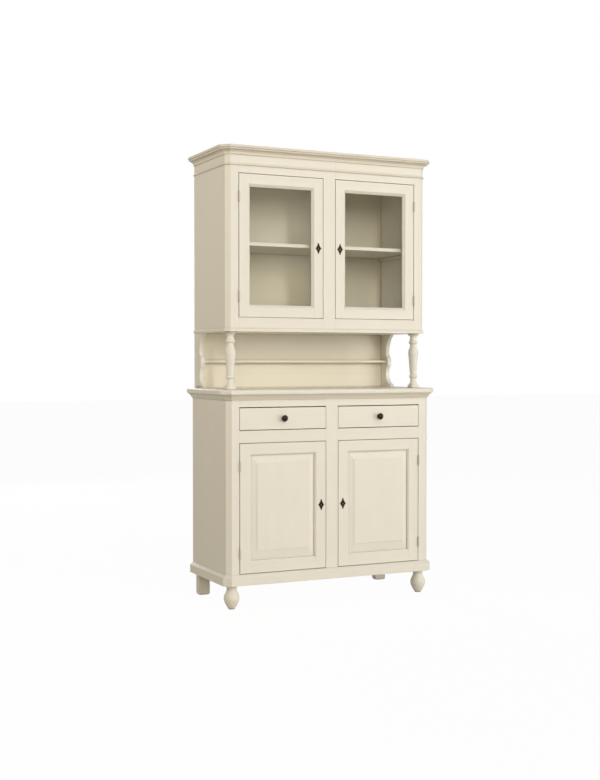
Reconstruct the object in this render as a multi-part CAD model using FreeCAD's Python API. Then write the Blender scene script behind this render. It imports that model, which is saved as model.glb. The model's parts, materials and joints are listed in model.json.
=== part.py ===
import FreeCAD, Part
# A painted dresser in two halves: a base cabinet with two drawers over two panelled doors, and a hutch with an
# open niche between turned balusters below a display case with two glazed doors.
# Millimetres, +Z up, the front faces -Y, and the origin is on the floor under the middle of the worktop.
import os
from math import atan2, degrees, sqrt

V = FreeCAD.Vector

# ---------------------------------------------------------------- driving dimensions: base cabinet
BASE_WIDTH = 1080.0
BASE_DEPTH = 452.0
BASE_CHAMFER = 22.0
BASE_POST_WIDTH = 60.5
CENTRE_STILE_WIDTH = 63.0
SIDE_THICKNESS = 20.0
FOOT_HEIGHT = 113.0
PLINTH_HEIGHT = 51.0
PLINTH_PROJECTION = 15.0
PLINTH_BEVEL = 13.0
CUPBOARD_OPENING = 609.0
MIDDLE_RAIL = 57.0
DRAWER_OPENING = 109.0
BASE_TOP_RAIL = 57.0
BED_MOULDING_HEIGHT = 23.0
BED_MOULDING_PROJECTION = 22.0
BED_MOULDING_FILLET = 2.0
BED_MOULDING_TOE = 5.0
BED_MOULDING_HOLLOW = 0.44
WORKTOP_THICKNESS = 24.0
WORKTOP_OVERHANG = 30.0
WORKTOP_TOP_ROUND = 9.0
WORKTOP_BOTTOM_ROUND = 7.0

# ---------------------------------------------------------------- driving dimensions: hutch
CASE_SIDE_INSET = 10.0
CASE_DEPTH = 421.0
CASE_CHAMFER = 20.0
CASE_POST_WIDTH = 60.5
NICHE_HEIGHT = 270.0
BASE_BOARD_THICKNESS = 15.0
BASE_BOARD_PROJECTION = 5.0
BASE_BOARD_ROUND = 4.0
CASE_BOTTOM_RAIL = 50.0
CASE_OPENING = 669.0
CASE_TOP_RAIL = 123.0
ASTRAGAL_RISE = 34.5
ASTRAGAL_HEIGHT = 8.0
ASTRAGAL_PROJECTION = 6.0
ASTRAGAL_EDGE = 2.5
CORNICE_HEIGHT = 40.0
CORNICE_PROJECTION = 32.0
CORNICE_BAND = 11.0
CORNICE_OVOLO = 9.0
CORNICE_FILLET = 3.5
CORNICE_TOE = 4.0

# ---------------------------------------------------------------- driving dimensions: boards inside
BOARD_THICKNESS = 18.0
BACK_THICKNESS = 10.0
BACK_RECESS = 8.0
BACK_REBATE = 8.0
CASE_FLOOR_DROP = 4.0
CUPBOARD_FLOOR_DROP = 2.0
CASE_SHELF_THICKNESS = 16.0
CASE_SHELF_RISE = 338.0
CASE_SHELF_SETBACK = 36.0
CUPBOARD_SHELF_RISE = 298.0
CUPBOARD_SHELF_SETBACK = 92.0
CLEAT = 15.0
CLEAT_SETBACK = 30.0
STOP_LAP = 8.0
STOP_THICKNESS = 12.0
STOP_CLEARANCE = 0.3
CORNER_BLOCK = 60.0

# ---------------------------------------------------------------- driving dimensions: niche
NICHE_SHELF_RISE = 125.0
NICHE_SHELF_THICKNESS = 12.0
NICHE_SHELF_DEPTH = 70.0
BRACKET_THICKNESS = 20.0
BRACKET_DEPTH = 118.0
SHOE_HEIGHT = 12.0
SHOE_START = 33.0
SHOE_END = 98.0
SHOE_RECESS = 6.0
SHOE_LIP = 4.0
BALUSTER_RADIUS = 25.2
BALUSTER_SIDE_INSET = 36.5
BALUSTER_FRONT_INSET = 45.0
BALUSTER_BLOCK = 46.0
BALUSTER_BLOCK_HEIGHT = 15.0
BALUSTER_BLOCK_CHAMFER = 7.5
DOWEL_RADIUS = 8.0
DOWEL_LENGTH = 10.0
DOWEL_CLEARANCE = 0.05

# ---------------------------------------------------------------- driving dimensions: feet
FOOT_RADIUS = 36.6
FOOT_SIDE_INSET = 38.0
FOOT_FRONT_INSET = 42.0
REAR_FOOT_WIDTH = 56.0
REAR_FOOT_DEPTH = 40.0
REAR_FOOT_SIDE_INSET = 17.0
REAR_FOOT_ROUND = 12.0
TENON_LENGTH = 25.0
REAR_TENON_WALL = 5.0

# ---------------------------------------------------------------- driving dimensions: doors
DOOR_THICKNESS = 22.0
DOOR_GAP = 2.5
HINGE_GAP = 3.0
PANELLED_MEMBER = 50.0
GLAZED_MEMBER = 45.5
GLAZED_BEVEL = 12.0
GLASS_LIP = 1.0
GLASS_REBATE = 8.0
GLASS_THICKNESS = 3.0
GLASS_EDGE_CLEARANCE = 0.5
PANEL_BEVEL = 8.0
PANEL_LIP = 3.0
PANEL_GROOVE = 10.0
PANEL_TONGUE = 7.0
PANEL_MOVEMENT = 1.0
FIELD_SIDE_MARGIN = 29.0
FIELD_TOP_MARGIN = 35.5
FIELD_BOTTOM_MARGIN = 45.0
FIELD_RECESS = 1.5
FIELD_SHOULDER = 1.5

# ---------------------------------------------------------------- driving dimensions: door ironmongery
HINGE_FROM_BOTTOM = 92.0
HINGE_FROM_TOP = 107.0
HINGE_LEAF_HEIGHT = 40.0
HINGE_LEAF_DEPTH = 18.0
HINGE_LEAF_THICKNESS = 1.2
KNUCKLE_RADIUS = 3.5
KNUCKLE_STAND_OFF = 0.4
KNUCKLE_GAP = 0.3
PIN_RADIUS = 1.25
PIN_CLEARANCE = 0.05
FINIAL_COLLAR = 1.2
COLLAR_RADIUS = 3.0
FINIAL_RADIUS = 2.6
ESCUTCHEON_HEIGHT = 52.0
ESCUTCHEON_WIDTH = 30.0
ESCUTCHEON_TIP = 3.0
ESCUTCHEON_HOLLOW = 0.45
ESCUTCHEON_THICKNESS = 1.8
KEY_INSET = 24.0
KEYHOLE_RADIUS = 2.8
KEYHOLE_SLOT = 2.4
KEYHOLE_DROP = 9.0
LOCK_DEPTH = 40.0
LOCK_HEIGHT = 48.0
LOCK_THICKNESS = 12.0
LOCK_FRONT_WALL = 3.0
FACEPLATE_HEIGHT = 60.0
FACEPLATE_THICKNESS = 2.0
BOLT_LENGTH = 16.0
BOLT_HEIGHT = 14.0
BOLT_THICKNESS = 8.0
BOLT_THROW = 8.0
BOLT_CLEARANCE = 0.3
STRIKE_CLEARANCE = 1.0

# ---------------------------------------------------------------- driving dimensions: drawers
DRAWER_GAP = 2.0
DRAWER_TOP_GAP = 4.2
DRAWER_BOTTOM_GAP = 3.2
DRAWER_FRONT_THICKNESS = 20.0
DRAWER_SIDE_THICKNESS = 12.0
DRAWER_BACK_CLEARANCE = 29.0
DRAWER_BOX_DROP = 20.0
DRAWER_RUNNING_GAP = 0.3
DRAWER_SIDE_GAP = 1.0
DRAWER_BOTTOM_THICKNESS = 5.0
DRAWER_BOTTOM_RISE = 10.0
DRAWER_GROOVE = 6.0
BEARER_THICKNESS = 20.0
BEARER_LEDGE = 20.0
GUIDE_HEIGHT = 40.0
KNOB_RADIUS = 15.5
KNOB_PROJECTION = 26.0
KNOB_ROSE_RADIUS = 9.5
KNOB_ROSE_THICKNESS = 1.5
KNOB_SCREW_RADIUS = 2.0
KNOB_SCREW_HEAD_RADIUS = 4.5
KNOB_SCREW_HEAD_HEIGHT = 2.5
KNOB_SCREW_DEPTH = 12.0
KNOB_SCREW_TIP_GAP = 1.0

# ---------------------------------------------------------------- curved outlines
# Each point is (across, up), as shares of the piece's own radius or depth and of its height. Four numbers are an
# arc through a point to its end. Turned pieces and the bracket's edge are read from the bottom upwards.
FOOT_OUTLINE = [(0.40, 0), (0.47, 0.030), (0.49, 0.055), (0.73, 0.170, 0.91, 0.300), (1.0, 0.450, 0.92, 0.590),
                (0.76, 0.690, 0.636, 0.790), (0.645, 0.850, 0.70, 0.915), (0.76, 0.935), (0.76, 1)]
BALUSTER_OUTLINE = [(0.775, 0.075), (0.735, 0.090), (0.60, 0.125, 0.59, 0.148), (0.605, 0.175, 0.74, 0.192),
                    (0.82, 0.210, 0.74, 0.228), (0.67, 0.236), (0.665, 0.262), (0.80, 0.440, 0.95, 0.590),
                    (1.0, 0.645, 0.91, 0.700), (0.675, 0.750, 0.63, 0.785), (0.645, 0.806), (0.80, 0.814),
                    (0.905, 0.833, 0.82, 0.852), (0.665, 0.890, 0.62, 0.922), (0.74, 0.950, 0.97, 0.966),
                    (1.04, 0.972), (1.04, 1)]
BALUSTER_SEAT = 0.83
BRACKET_OUTLINE = [(1, 0.030), (0.763, 0.085, 0.636, 0.150), (0.593, 0.270, 0.669, 0.380), (0.720, 0.380),
                   (0.754, 0.470, 0.729, 0.555), (0.614, 0.605, 0.593, 0.680), (0.686, 0.840, 1, 1)]
KNOB_OUTLINE = [(0.39, 0.135), (0.335, 0.270, 0.42, 0.420), (0.84, 0.500, 1, 0.680)]
COVE_HOLLOW = 0.3
OVOLO_SWELL = 0.6

# ---------------------------------------------------------------- working allowances
# A cutting block runs past the wood by the overcut, and two faces nearer than the touch lie in one plane.
OVERCUT = 1.0
TOUCH = 0.01

# ---------------------------------------------------------------- planes and levels worked out from the above
# The face frames are as thick as the doors, which close against stops fixed behind the centre stiles.
FACE_FRAME_THICKNESS = DOOR_THICKNESS + STOP_CLEARANCE
REAR = (BASE_DEPTH + WORKTOP_OVERHANG) / 2
BASE_FRONT = REAR - BASE_DEPTH
CASE_FRONT = REAR - CASE_DEPTH
BACK_FACE = REAR - BACK_RECESS - BACK_THICKNESS

BASE_HALF = BASE_WIDTH / 2
CASE_HALF = BASE_HALF - CASE_SIDE_INSET
STILE_HALF = CENTRE_STILE_WIDTH / 2
BASE_OPENING_EDGE = BASE_HALF - BASE_POST_WIDTH
CASE_OPENING_EDGE = CASE_HALF - CASE_POST_WIDTH
BASE_INNER = BASE_HALF - SIDE_THICKNESS
CASE_INNER = CASE_HALF - SIDE_THICKNESS

Z_CUPBOARD = FOOT_HEIGHT + PLINTH_HEIGHT
Z_MIDDLE_RAIL = Z_CUPBOARD + CUPBOARD_OPENING
Z_DRAWER = Z_MIDDLE_RAIL + MIDDLE_RAIL
Z_BASE_TOP_RAIL = Z_DRAWER + DRAWER_OPENING
Z_WORKTOP = Z_BASE_TOP_RAIL + BASE_TOP_RAIL
Z_NICHE = Z_WORKTOP + WORKTOP_THICKNESS
Z_BASE_BOARD = Z_NICHE + NICHE_HEIGHT
Z_CASE = Z_BASE_BOARD + BASE_BOARD_THICKNESS
Z_CASE_OPENING = Z_CASE + CASE_BOTTOM_RAIL
Z_CASE_TOP_RAIL = Z_CASE_OPENING + CASE_OPENING
Z_TOP = Z_CASE_TOP_RAIL + CASE_TOP_RAIL
Z_CUPBOARD_FLOOR = Z_CUPBOARD - CUPBOARD_FLOOR_DROP - BOARD_THICKNESS
Z_CUPBOARD_SHELF = Z_CUPBOARD + CUPBOARD_SHELF_RISE
Z_CASE_FLOOR = Z_CASE_OPENING - CASE_FLOOR_DROP - BOARD_THICKNESS
Z_CASE_SHELF = Z_CASE_OPENING + CASE_SHELF_RISE
Z_NICHE_SHELF = Z_NICHE + NICHE_SHELF_RISE

FOOT_X = BASE_HALF - FOOT_SIDE_INSET
FOOT_Y = BASE_FRONT + FOOT_FRONT_INSET
REAR_FOOT_X = BASE_HALF - REAR_FOOT_SIDE_INSET - REAR_FOOT_WIDTH / 2
REAR_TENON_Y = BACK_FACE - REAR_TENON_WALL - DOWEL_RADIUS
BALUSTER_X = CASE_HALF - BALUSTER_SIDE_INSET
BALUSTER_Y = CASE_FRONT + BALUSTER_FRONT_INSET

BASE_DOOR = dict(outer=-BASE_OPENING_EDGE + HINGE_GAP, inner=-STILE_HALF - DOOR_GAP, front=BASE_FRONT,
                 bottom=Z_CUPBOARD + DOOR_GAP, top=Z_MIDDLE_RAIL - DOOR_GAP, bevel=PANEL_BEVEL)
CASE_DOOR = dict(outer=-CASE_OPENING_EDGE + HINGE_GAP, inner=-STILE_HALF - DOOR_GAP, front=CASE_FRONT,
                 bottom=Z_CASE_OPENING + DOOR_GAP, top=Z_CASE_TOP_RAIL - DOOR_GAP, bevel=GLAZED_BEVEL)


# ---------------------------------------------------------------- shape helpers
def box(x0, x1, y0, y1, z0, z1):
    """A rectangular block between two corners."""
    return Part.makeBox(x1 - x0, y1 - y0, z1 - z0, V(x0, y0, z0))


def mirrored(shape):
    """The same piece on the other side of the middle plane."""
    return shape.mirror(V(0, 0, 0), V(1, 0, 0))


def both_sides(*shapes):
    """Each piece and its mirror image."""
    return [copy for shape in shapes for copy in (shape, mirrored(shape))]


def plan_prism(points, z0, z1):
    """A plan outline raised from z0 to z1."""
    wire = Part.makePolygon([V(x, y, z0) for x, y in points + points[:1]])
    return Part.Face(wire).extrude(V(0, 0, z1 - z0))


def face_prism(points, y0, y1):
    """An outline in the plane of the front, carried back from y0 to y1."""
    wire = Part.makePolygon([V(x, y0, z) for x, z in points + points[:1]])
    return Part.Face(wire).extrude(V(0, y1 - y0, 0))


def section(points):
    """A closed face in the XZ plane. (x, z) joins by a line, (xm, zm, x, z) by an arc through (xm, zm)."""
    edges = []
    here = V(points[0][0], 0, points[0][1])
    for point in points[1:] + points[:1]:
        end = V(point[-2], 0, point[-1])
        if len(point) == 4:
            edges.append(Part.Arc(here, V(point[0], 0, point[1]), end).toShape())
        elif (end - here).Length > 0:
            edges.append(Part.makeLine(here, end))
        here = end
    return Part.Face(Part.Wire(edges))


def scaled(outline, across, up):
    """The points of an outline that is given in shares, at its real size."""
    sizes = (across, up, across, up)
    return [tuple(share * size for share, size in zip(point, sizes)) for point in outline]


def cove(x0, z0, x1, z1, hollow=COVE_HOLLOW):
    """The hollow arc from one point out and up to another, flatter as the share nears a half."""
    return x0 + (x1 - x0) * hollow, z1 - (z1 - z0) * hollow, x1, z1


def dome(radius, rim, top):
    """The arc from a rim of this radius to a point on the axis, where it is level."""
    rise = top - rim
    sphere = (radius ** 2 + rise ** 2) / (2 * rise)
    return radius / 2, top - sphere + sqrt(sphere ** 2 - radius ** 2 / 4), 0, top


def turned(points, x, y, z):
    """A lathe-turned piece standing at (x, y, z), from (radius, height) points that start and end on the axis."""
    shape = section(points).revolve(V(0, 0, 0), V(0, 0, 1), 360)
    return shape.translated(V(x, y, z))


def cornered_plan(half_width, front, chamfer, growth=0.0):
    """Plan outline from rear left to rear right with both front corners cut at 45 degrees, grown outwards."""
    side = half_width + growth
    face = front - growth
    leg = chamfer + growth * (2 - sqrt(2))
    return [(-side, REAR), (-side, face + leg), (-side + leg, face),
            (side - leg, face), (side, face + leg), (side, REAR)]


def mitred_lengths(path, profile, reach):
    """One length of moulding for each stretch of the path, mitred where they meet.
    The profile's X is the distance out from the path, and reach is the most it stands out."""
    corners = [V(x, y, 0) for x, y in path]
    outward = []
    for start, end in zip(corners, corners[1:]):
        along = (end - start).normalize()
        outward.append(V(along.y, -along.x, 0))
    mitres = [outward[0]]
    for before, after in zip(outward, outward[1:]):
        mitres.append((before + after) * (1 / (1 + before.dot(after))))
    mitres.append(outward[-1])

    lengths = []
    for i, normal in enumerate(outward):
        start, end = corners[i], corners[i + 1]
        run = profile.extrude(V(0, (end - start).Length + 2 * reach, 0))
        run.translate(V(0, -reach, 0))
        run.rotate(V(0, 0, 0), V(0, 0, 1), degrees(atan2(normal.y, normal.x)))
        run.translate(start)
        footprint = [start, end, end + mitres[i + 1] * (reach + OVERCUT), start + mitres[i] * (reach + OVERCUT)]
        lengths.append(run.common(plan_prism([(p.x, p.y) for p in footprint], 0, Z_TOP + reach)))
    return lengths


def rounded(shape, radius, wanted):
    """Round the edges whose middle point passes the test."""
    edges = [edge for edge in shape.Edges if wanted(edge.CenterOfMass)]
    return shape.makeFillet(radius, edges)


# ---------------------------------------------------------------- base cabinet
def base_sides():
    side = box(BASE_INNER, BASE_HALF, BASE_FRONT + FACE_FRAME_THICKNESS, REAR, FOOT_HEIGHT, Z_WORKTOP)
    rebate = box(BASE_INNER, BASE_INNER + BACK_REBATE, BACK_FACE, REAR, FOOT_HEIGHT, Z_WORKTOP)
    return both_sides(side.cut(rebate))


def corner_post(half_width, opening_edge, front, chamfer, z0, z1):
    back = front + FACE_FRAME_THICKNESS
    outline = [(opening_edge, front), (half_width - chamfer, front), (half_width, front + chamfer),
               (half_width, back), (opening_edge, back)]
    return plan_prism(outline, z0, z1)


def centre_stile(front, z0, z1, door):
    """The stile between two doors, with a pocket on each side for the bolts, and the board behind it that stops
    the doors."""
    back = front + FACE_FRAME_THICKNESS
    stile = box(-STILE_HALF, STILE_HALF, front, back, z0, z1)
    lock_y = front + DOOR_THICKNESS / 2
    lock_z = (door["bottom"] + door["top"]) / 2
    depth = BOLT_THROW - DOOR_GAP + STRIKE_CLEARANCE
    pocket = box(-STILE_HALF, -STILE_HALF + depth,
                 lock_y - BOLT_THICKNESS / 2 - STRIKE_CLEARANCE, lock_y + BOLT_THICKNESS / 2 + STRIKE_CLEARANCE,
                 lock_z - BOLT_HEIGHT / 2 - STRIKE_CLEARANCE, lock_z + BOLT_HEIGHT / 2 + STRIKE_CLEARANCE)
    stop = box(-STILE_HALF - STOP_LAP, STILE_HALF + STOP_LAP, back, back + STOP_THICKNESS,
               door["bottom"] - DOOR_GAP, door["top"] + DOOR_GAP)
    return [stile.cut(both_sides(pocket)), stop]


def base_uprights():
    post = corner_post(BASE_HALF, BASE_OPENING_EDGE, BASE_FRONT, BASE_CHAMFER, FOOT_HEIGHT, Z_WORKTOP)
    return both_sides(post) + centre_stile(BASE_FRONT, FOOT_HEIGHT, Z_WORKTOP, BASE_DOOR)


def base_rails():
    levels = [(FOOT_HEIGHT, Z_CUPBOARD), (Z_MIDDLE_RAIL, Z_DRAWER), (Z_BASE_TOP_RAIL, Z_WORKTOP)]
    back = BASE_FRONT + FACE_FRAME_THICKNESS
    return both_sides(*[box(STILE_HALF, BASE_OPENING_EDGE, BASE_FRONT, back, z0, z1) for z0, z1 in levels])


def base_back():
    half = BASE_INNER + BACK_REBATE
    return [box(-half, half, BACK_FACE, BACK_FACE + BACK_THICKNESS, FOOT_HEIGHT, Z_WORKTOP)]


def cupboard_floor():
    front = BASE_FRONT + FACE_FRAME_THICKNESS
    return [box(-BASE_INNER, BASE_INNER, front, BACK_FACE, Z_CUPBOARD_FLOOR, Z_CUPBOARD_FLOOR + BOARD_THICKNESS)]


def cupboard_shelf():
    front = BASE_FRONT + CUPBOARD_SHELF_SETBACK
    return [box(-BASE_INNER, BASE_INNER, front, BACK_FACE, Z_CUPBOARD_SHELF, Z_CUPBOARD_SHELF + BOARD_THICKNESS)]


def shelf_cleats():
    """The battens on the side panels that carry the two shelves."""
    base = box(BASE_INNER - CLEAT, BASE_INNER, BASE_FRONT + CUPBOARD_SHELF_SETBACK + CLEAT_SETBACK, BACK_FACE,
               Z_CUPBOARD_SHELF - CLEAT, Z_CUPBOARD_SHELF)
    case = box(CASE_INNER - CLEAT, CASE_INNER, CASE_FRONT + CASE_SHELF_SETBACK + CLEAT_SETBACK, BACK_FACE,
               Z_CASE_SHELF - CLEAT, Z_CASE_SHELF)
    return both_sides(base, case)


def drawer_runners():
    """Bearers under the drawers, guides beside them and kickers over them, at the sides and in the middle."""
    front = BASE_FRONT + FACE_FRAME_THICKNESS
    side_ledge = BASE_OPENING_EDGE - BEARER_LEDGE
    middle_ledge = STILE_HALF + BEARER_LEDGE
    side = [box(side_ledge, BASE_INNER, front, BACK_FACE, Z_DRAWER - BEARER_THICKNESS, Z_DRAWER),
            box(BASE_OPENING_EDGE, BASE_INNER, front, BACK_FACE, Z_DRAWER, Z_DRAWER + GUIDE_HEIGHT),
            box(side_ledge, BASE_INNER, front, BACK_FACE, Z_BASE_TOP_RAIL, Z_BASE_TOP_RAIL + BEARER_THICKNESS)]
    middle = [box(-middle_ledge, middle_ledge, front, BACK_FACE, Z_DRAWER - BEARER_THICKNESS, Z_DRAWER),
              box(-STILE_HALF, STILE_HALF, front, BACK_FACE, Z_DRAWER, Z_DRAWER + GUIDE_HEIGHT),
              box(-middle_ledge, middle_ledge, front, BACK_FACE, Z_BASE_TOP_RAIL,
                  Z_BASE_TOP_RAIL + BEARER_THICKNESS)]
    return both_sides(*side) + middle


def corner_blocks():
    """The blocks under the cupboard floor that take the tenons of the feet."""
    def block(y0, y1, tenon_x, tenon_y):
        solid = box(BASE_INNER - CORNER_BLOCK, BASE_INNER, y0, y1, FOOT_HEIGHT, Z_CUPBOARD_FLOOR)
        mortise = Part.makeCylinder(DOWEL_RADIUS + DOWEL_CLEARANCE, TENON_LENGTH + OVERCUT,
                                    V(tenon_x, tenon_y, FOOT_HEIGHT))
        return solid.cut(mortise)

    front = BASE_FRONT + FACE_FRAME_THICKNESS
    return both_sides(block(front, front + CORNER_BLOCK, FOOT_X, FOOT_Y),
                      block(BACK_FACE - CORNER_BLOCK, BACK_FACE, REAR_FOOT_X, REAR_TENON_Y))


def plinth():
    profile = section([(0, FOOT_HEIGHT), (PLINTH_PROJECTION, FOOT_HEIGHT),
                       (PLINTH_PROJECTION, Z_CUPBOARD - PLINTH_BEVEL), (0, Z_CUPBOARD)])
    return mitred_lengths(cornered_plan(BASE_HALF, BASE_FRONT, BASE_CHAMFER), profile, PLINTH_PROJECTION)


def worktop_moulding():
    """Fillet, cove and fillet under the overhang of the worktop."""
    out = BED_MOULDING_PROJECTION
    toe = BED_MOULDING_TOE
    bottom = Z_WORKTOP - BED_MOULDING_HEIGHT
    hollow = bottom + BED_MOULDING_FILLET
    top = Z_WORKTOP - BED_MOULDING_FILLET
    profile = section([(0, bottom), (toe, bottom), (toe, hollow), cove(toe, hollow, out, top, BED_MOULDING_HOLLOW),
                       (out, Z_WORKTOP), (0, Z_WORKTOP)])
    return mitred_lengths(cornered_plan(BASE_HALF, BASE_FRONT, BASE_CHAMFER), profile, out)


def worktop():
    outline = cornered_plan(BASE_HALF, BASE_FRONT, BASE_CHAMFER, WORKTOP_OVERHANG)
    slab = plan_prism(outline, Z_WORKTOP, Z_NICHE)
    slab = rounded(slab, WORKTOP_TOP_ROUND, lambda c: c.z > Z_NICHE - TOUCH and c.y < REAR - TOUCH)
    slab = rounded(slab, WORKTOP_BOTTOM_ROUND, lambda c: c.z < Z_WORKTOP + TOUCH and c.y < REAR - TOUCH)
    dowel = Part.makeCylinder(DOWEL_RADIUS + DOWEL_CLEARANCE, DOWEL_LENGTH + OVERCUT,
                              V(BALUSTER_X, BALUSTER_Y, Z_NICHE - DOWEL_LENGTH - OVERCUT))
    return [slab.cut(both_sides(dowel))]


def front_feet():
    """Vase-shaped turned feet, each with a tenon that goes up into its corner block."""
    end = FOOT_HEIGHT + TENON_LENGTH
    tenon = [(DOWEL_RADIUS, FOOT_HEIGHT), (DOWEL_RADIUS, end), (0, end)]
    profile = [(0, 0)] + scaled(FOOT_OUTLINE, FOOT_RADIUS, FOOT_HEIGHT) + tenon
    return both_sides(turned(profile, FOOT_X, FOOT_Y, 0))


def rear_feet():
    half = REAR_FOOT_WIDTH / 2
    block = box(REAR_FOOT_X - half, REAR_FOOT_X + half, REAR - REAR_FOOT_DEPTH, REAR, 0, FOOT_HEIGHT)
    block = rounded(block, REAR_FOOT_ROUND, lambda c: c.z < TOUCH)
    tenon = Part.makeCylinder(DOWEL_RADIUS, TENON_LENGTH, V(REAR_FOOT_X, REAR_TENON_Y, FOOT_HEIGHT))
    return both_sides(block.fuse(tenon).removeSplitter())


# ---------------------------------------------------------------- hutch
def case_sides():
    side = box(CASE_INNER, CASE_HALF, CASE_FRONT + FACE_FRAME_THICKNESS, REAR, Z_CASE, Z_TOP)
    rebate = box(CASE_INNER, CASE_INNER + BACK_REBATE, BACK_FACE, REAR, Z_CASE, Z_TOP)
    return both_sides(side.cut(rebate))


def case_uprights():
    post = corner_post(CASE_HALF, CASE_OPENING_EDGE, CASE_FRONT, CASE_CHAMFER, Z_CASE, Z_TOP)
    return both_sides(post) + centre_stile(CASE_FRONT, Z_CASE, Z_TOP, CASE_DOOR)


def case_rails():
    back = CASE_FRONT + FACE_FRAME_THICKNESS
    levels = [(Z_CASE, Z_CASE_OPENING), (Z_CASE_TOP_RAIL, Z_TOP)]
    return both_sides(*[box(STILE_HALF, CASE_OPENING_EDGE, CASE_FRONT, back, z0, z1) for z0, z1 in levels])


def case_base_board():
    """The board under the case, whose rounded edge shows as a thin moulding."""
    outline = cornered_plan(CASE_HALF, CASE_FRONT, CASE_CHAMFER, BASE_BOARD_PROJECTION)
    board = plan_prism(outline, Z_BASE_BOARD, Z_CASE)
    board = rounded(board, BASE_BOARD_ROUND, lambda c: c.y < REAR - TOUCH and abs(c.z - Z_CASE) < TOUCH)
    dowel = Part.makeCylinder(DOWEL_RADIUS + DOWEL_CLEARANCE, DOWEL_LENGTH + OVERCUT,
                              V(BALUSTER_X, BALUSTER_Y, Z_BASE_BOARD))
    return [board.cut(both_sides(dowel))]


def case_floor():
    front = CASE_FRONT + FACE_FRAME_THICKNESS
    return [box(-CASE_INNER, CASE_INNER, front, BACK_FACE, Z_CASE_FLOOR, Z_CASE_FLOOR + BOARD_THICKNESS)]


def case_top():
    front = CASE_FRONT + FACE_FRAME_THICKNESS
    return [box(-CASE_INNER, CASE_INNER, front, BACK_FACE, Z_TOP - BOARD_THICKNESS, Z_TOP)]


def case_back():
    half = CASE_INNER + BACK_REBATE
    return [box(-half, half, BACK_FACE, BACK_FACE + BACK_THICKNESS, Z_CASE, Z_TOP)]


def case_shelf():
    front = CASE_FRONT + CASE_SHELF_SETBACK
    return [box(-CASE_INNER, CASE_INNER, front, BACK_FACE, Z_CASE_SHELF, Z_CASE_SHELF + CASE_SHELF_THICKNESS)]


def cornice():
    """Cove, fillet, ovolo and a plain top band."""
    out = CORNICE_PROJECTION
    middle = out / 2
    bottom = Z_TOP - CORNICE_HEIGHT
    band = Z_TOP - CORNICE_BAND
    ovolo = band - CORNICE_OVOLO
    fillet = ovolo - CORNICE_FILLET
    hollow = bottom + CORNICE_TOE
    step = middle + CORNICE_FILLET / 2
    profile = section([(0, bottom), (CORNICE_TOE, bottom), (CORNICE_TOE, hollow),
                       cove(CORNICE_TOE, hollow, middle, fillet), (step, fillet), (step, ovolo),
                       (out - CORNICE_OVOLO * OVOLO_SWELL, ovolo + CORNICE_OVOLO * OVOLO_SWELL / 2,
                        out - CORNICE_FILLET, band),
                       (out, band), (out, Z_TOP), (0, Z_TOP)])
    return mitred_lengths(cornered_plan(CASE_HALF, CASE_FRONT, CASE_CHAMFER), profile, out)


def astragal():
    """A thin half-round under the frieze."""
    bottom = Z_CASE_TOP_RAIL + ASTRAGAL_RISE
    top = bottom + ASTRAGAL_HEIGHT
    profile = section([(0, bottom), (ASTRAGAL_EDGE, bottom),
                       (ASTRAGAL_PROJECTION, (bottom + top) / 2, ASTRAGAL_EDGE, top), (0, top)])
    return mitred_lengths(cornered_plan(CASE_HALF, CASE_FRONT, CASE_CHAMFER), profile, ASTRAGAL_PROJECTION)


# ---------------------------------------------------------------- niche
def niche_back():
    half = CASE_INNER + BACK_REBATE
    return [box(-half, half, BACK_FACE, BACK_FACE + BACK_THICKNESS, Z_NICHE, Z_BASE_BOARD)]


def niche_shelf():
    half = CASE_HALF - BRACKET_THICKNESS
    top = Z_NICHE_SHELF + NICHE_SHELF_THICKNESS
    return [box(-half, half, REAR - NICHE_SHELF_DEPTH, BACK_FACE, Z_NICHE_SHELF, top)]


def side_brackets():
    """Scroll-cut boards at the ends of the niche: a hollow, a nose with a nick below it, and a second hollow."""
    bottom = [(0, 0), (SHOE_START, 0), (SHOE_START, SHOE_HEIGHT), (SHOE_END, SHOE_HEIGHT), (SHOE_END, 0),
              (BRACKET_DEPTH, 0)]
    outline = section(bottom + scaled(BRACKET_OUTLINE, BRACKET_DEPTH, NICHE_HEIGHT) + [(0, NICHE_HEIGHT)])
    board = outline.extrude(V(0, BRACKET_THICKNESS, 0))
    board.rotate(V(0, 0, 0), V(0, 0, 1), -90)
    board.translate(V(CASE_HALF - BRACKET_THICKNESS, REAR, Z_NICHE))
    rebate = box(CASE_INNER, CASE_INNER + BACK_REBATE, BACK_FACE, REAR, Z_NICHE, Z_BASE_BOARD)
    shoe = box(CASE_HALF - BRACKET_THICKNESS - SHOE_LIP, CASE_HALF - SHOE_RECESS,
               REAR - SHOE_END, REAR - SHOE_START, Z_NICHE, Z_NICHE + SHOE_HEIGHT)
    return both_sides(board.cut(rebate), shoe)


def balusters():
    """Turned columns on square blocks with cut corners, dowelled into the worktop and the case's base board."""
    block = BALUSTER_BLOCK_HEIGHT
    end = NICHE_HEIGHT + DOWEL_LENGTH
    profile = [(0, -DOWEL_LENGTH), (DOWEL_RADIUS, -DOWEL_LENGTH), (DOWEL_RADIUS, block),
               (BALUSTER_RADIUS * BALUSTER_SEAT, block)]
    profile += scaled(BALUSTER_OUTLINE, BALUSTER_RADIUS, NICHE_HEIGHT)
    profile += [(DOWEL_RADIUS, NICHE_HEIGHT), (DOWEL_RADIUS, end), (0, end)]
    column = turned(profile, BALUSTER_X, BALUSTER_Y, Z_NICHE)
    half = BALUSTER_BLOCK / 2
    cut = BALUSTER_BLOCK_CHAMFER
    octagon = [(half, -half + cut), (half, half - cut), (half - cut, half), (-half + cut, half),
               (-half, half - cut), (-half, -half + cut), (-half + cut, -half), (half - cut, -half)]
    base = plan_prism([(BALUSTER_X + x, BALUSTER_Y + y) for x, y in octagon], Z_NICHE, Z_NICHE + block)
    return both_sides(column.fuse(base).removeSplitter())


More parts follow.
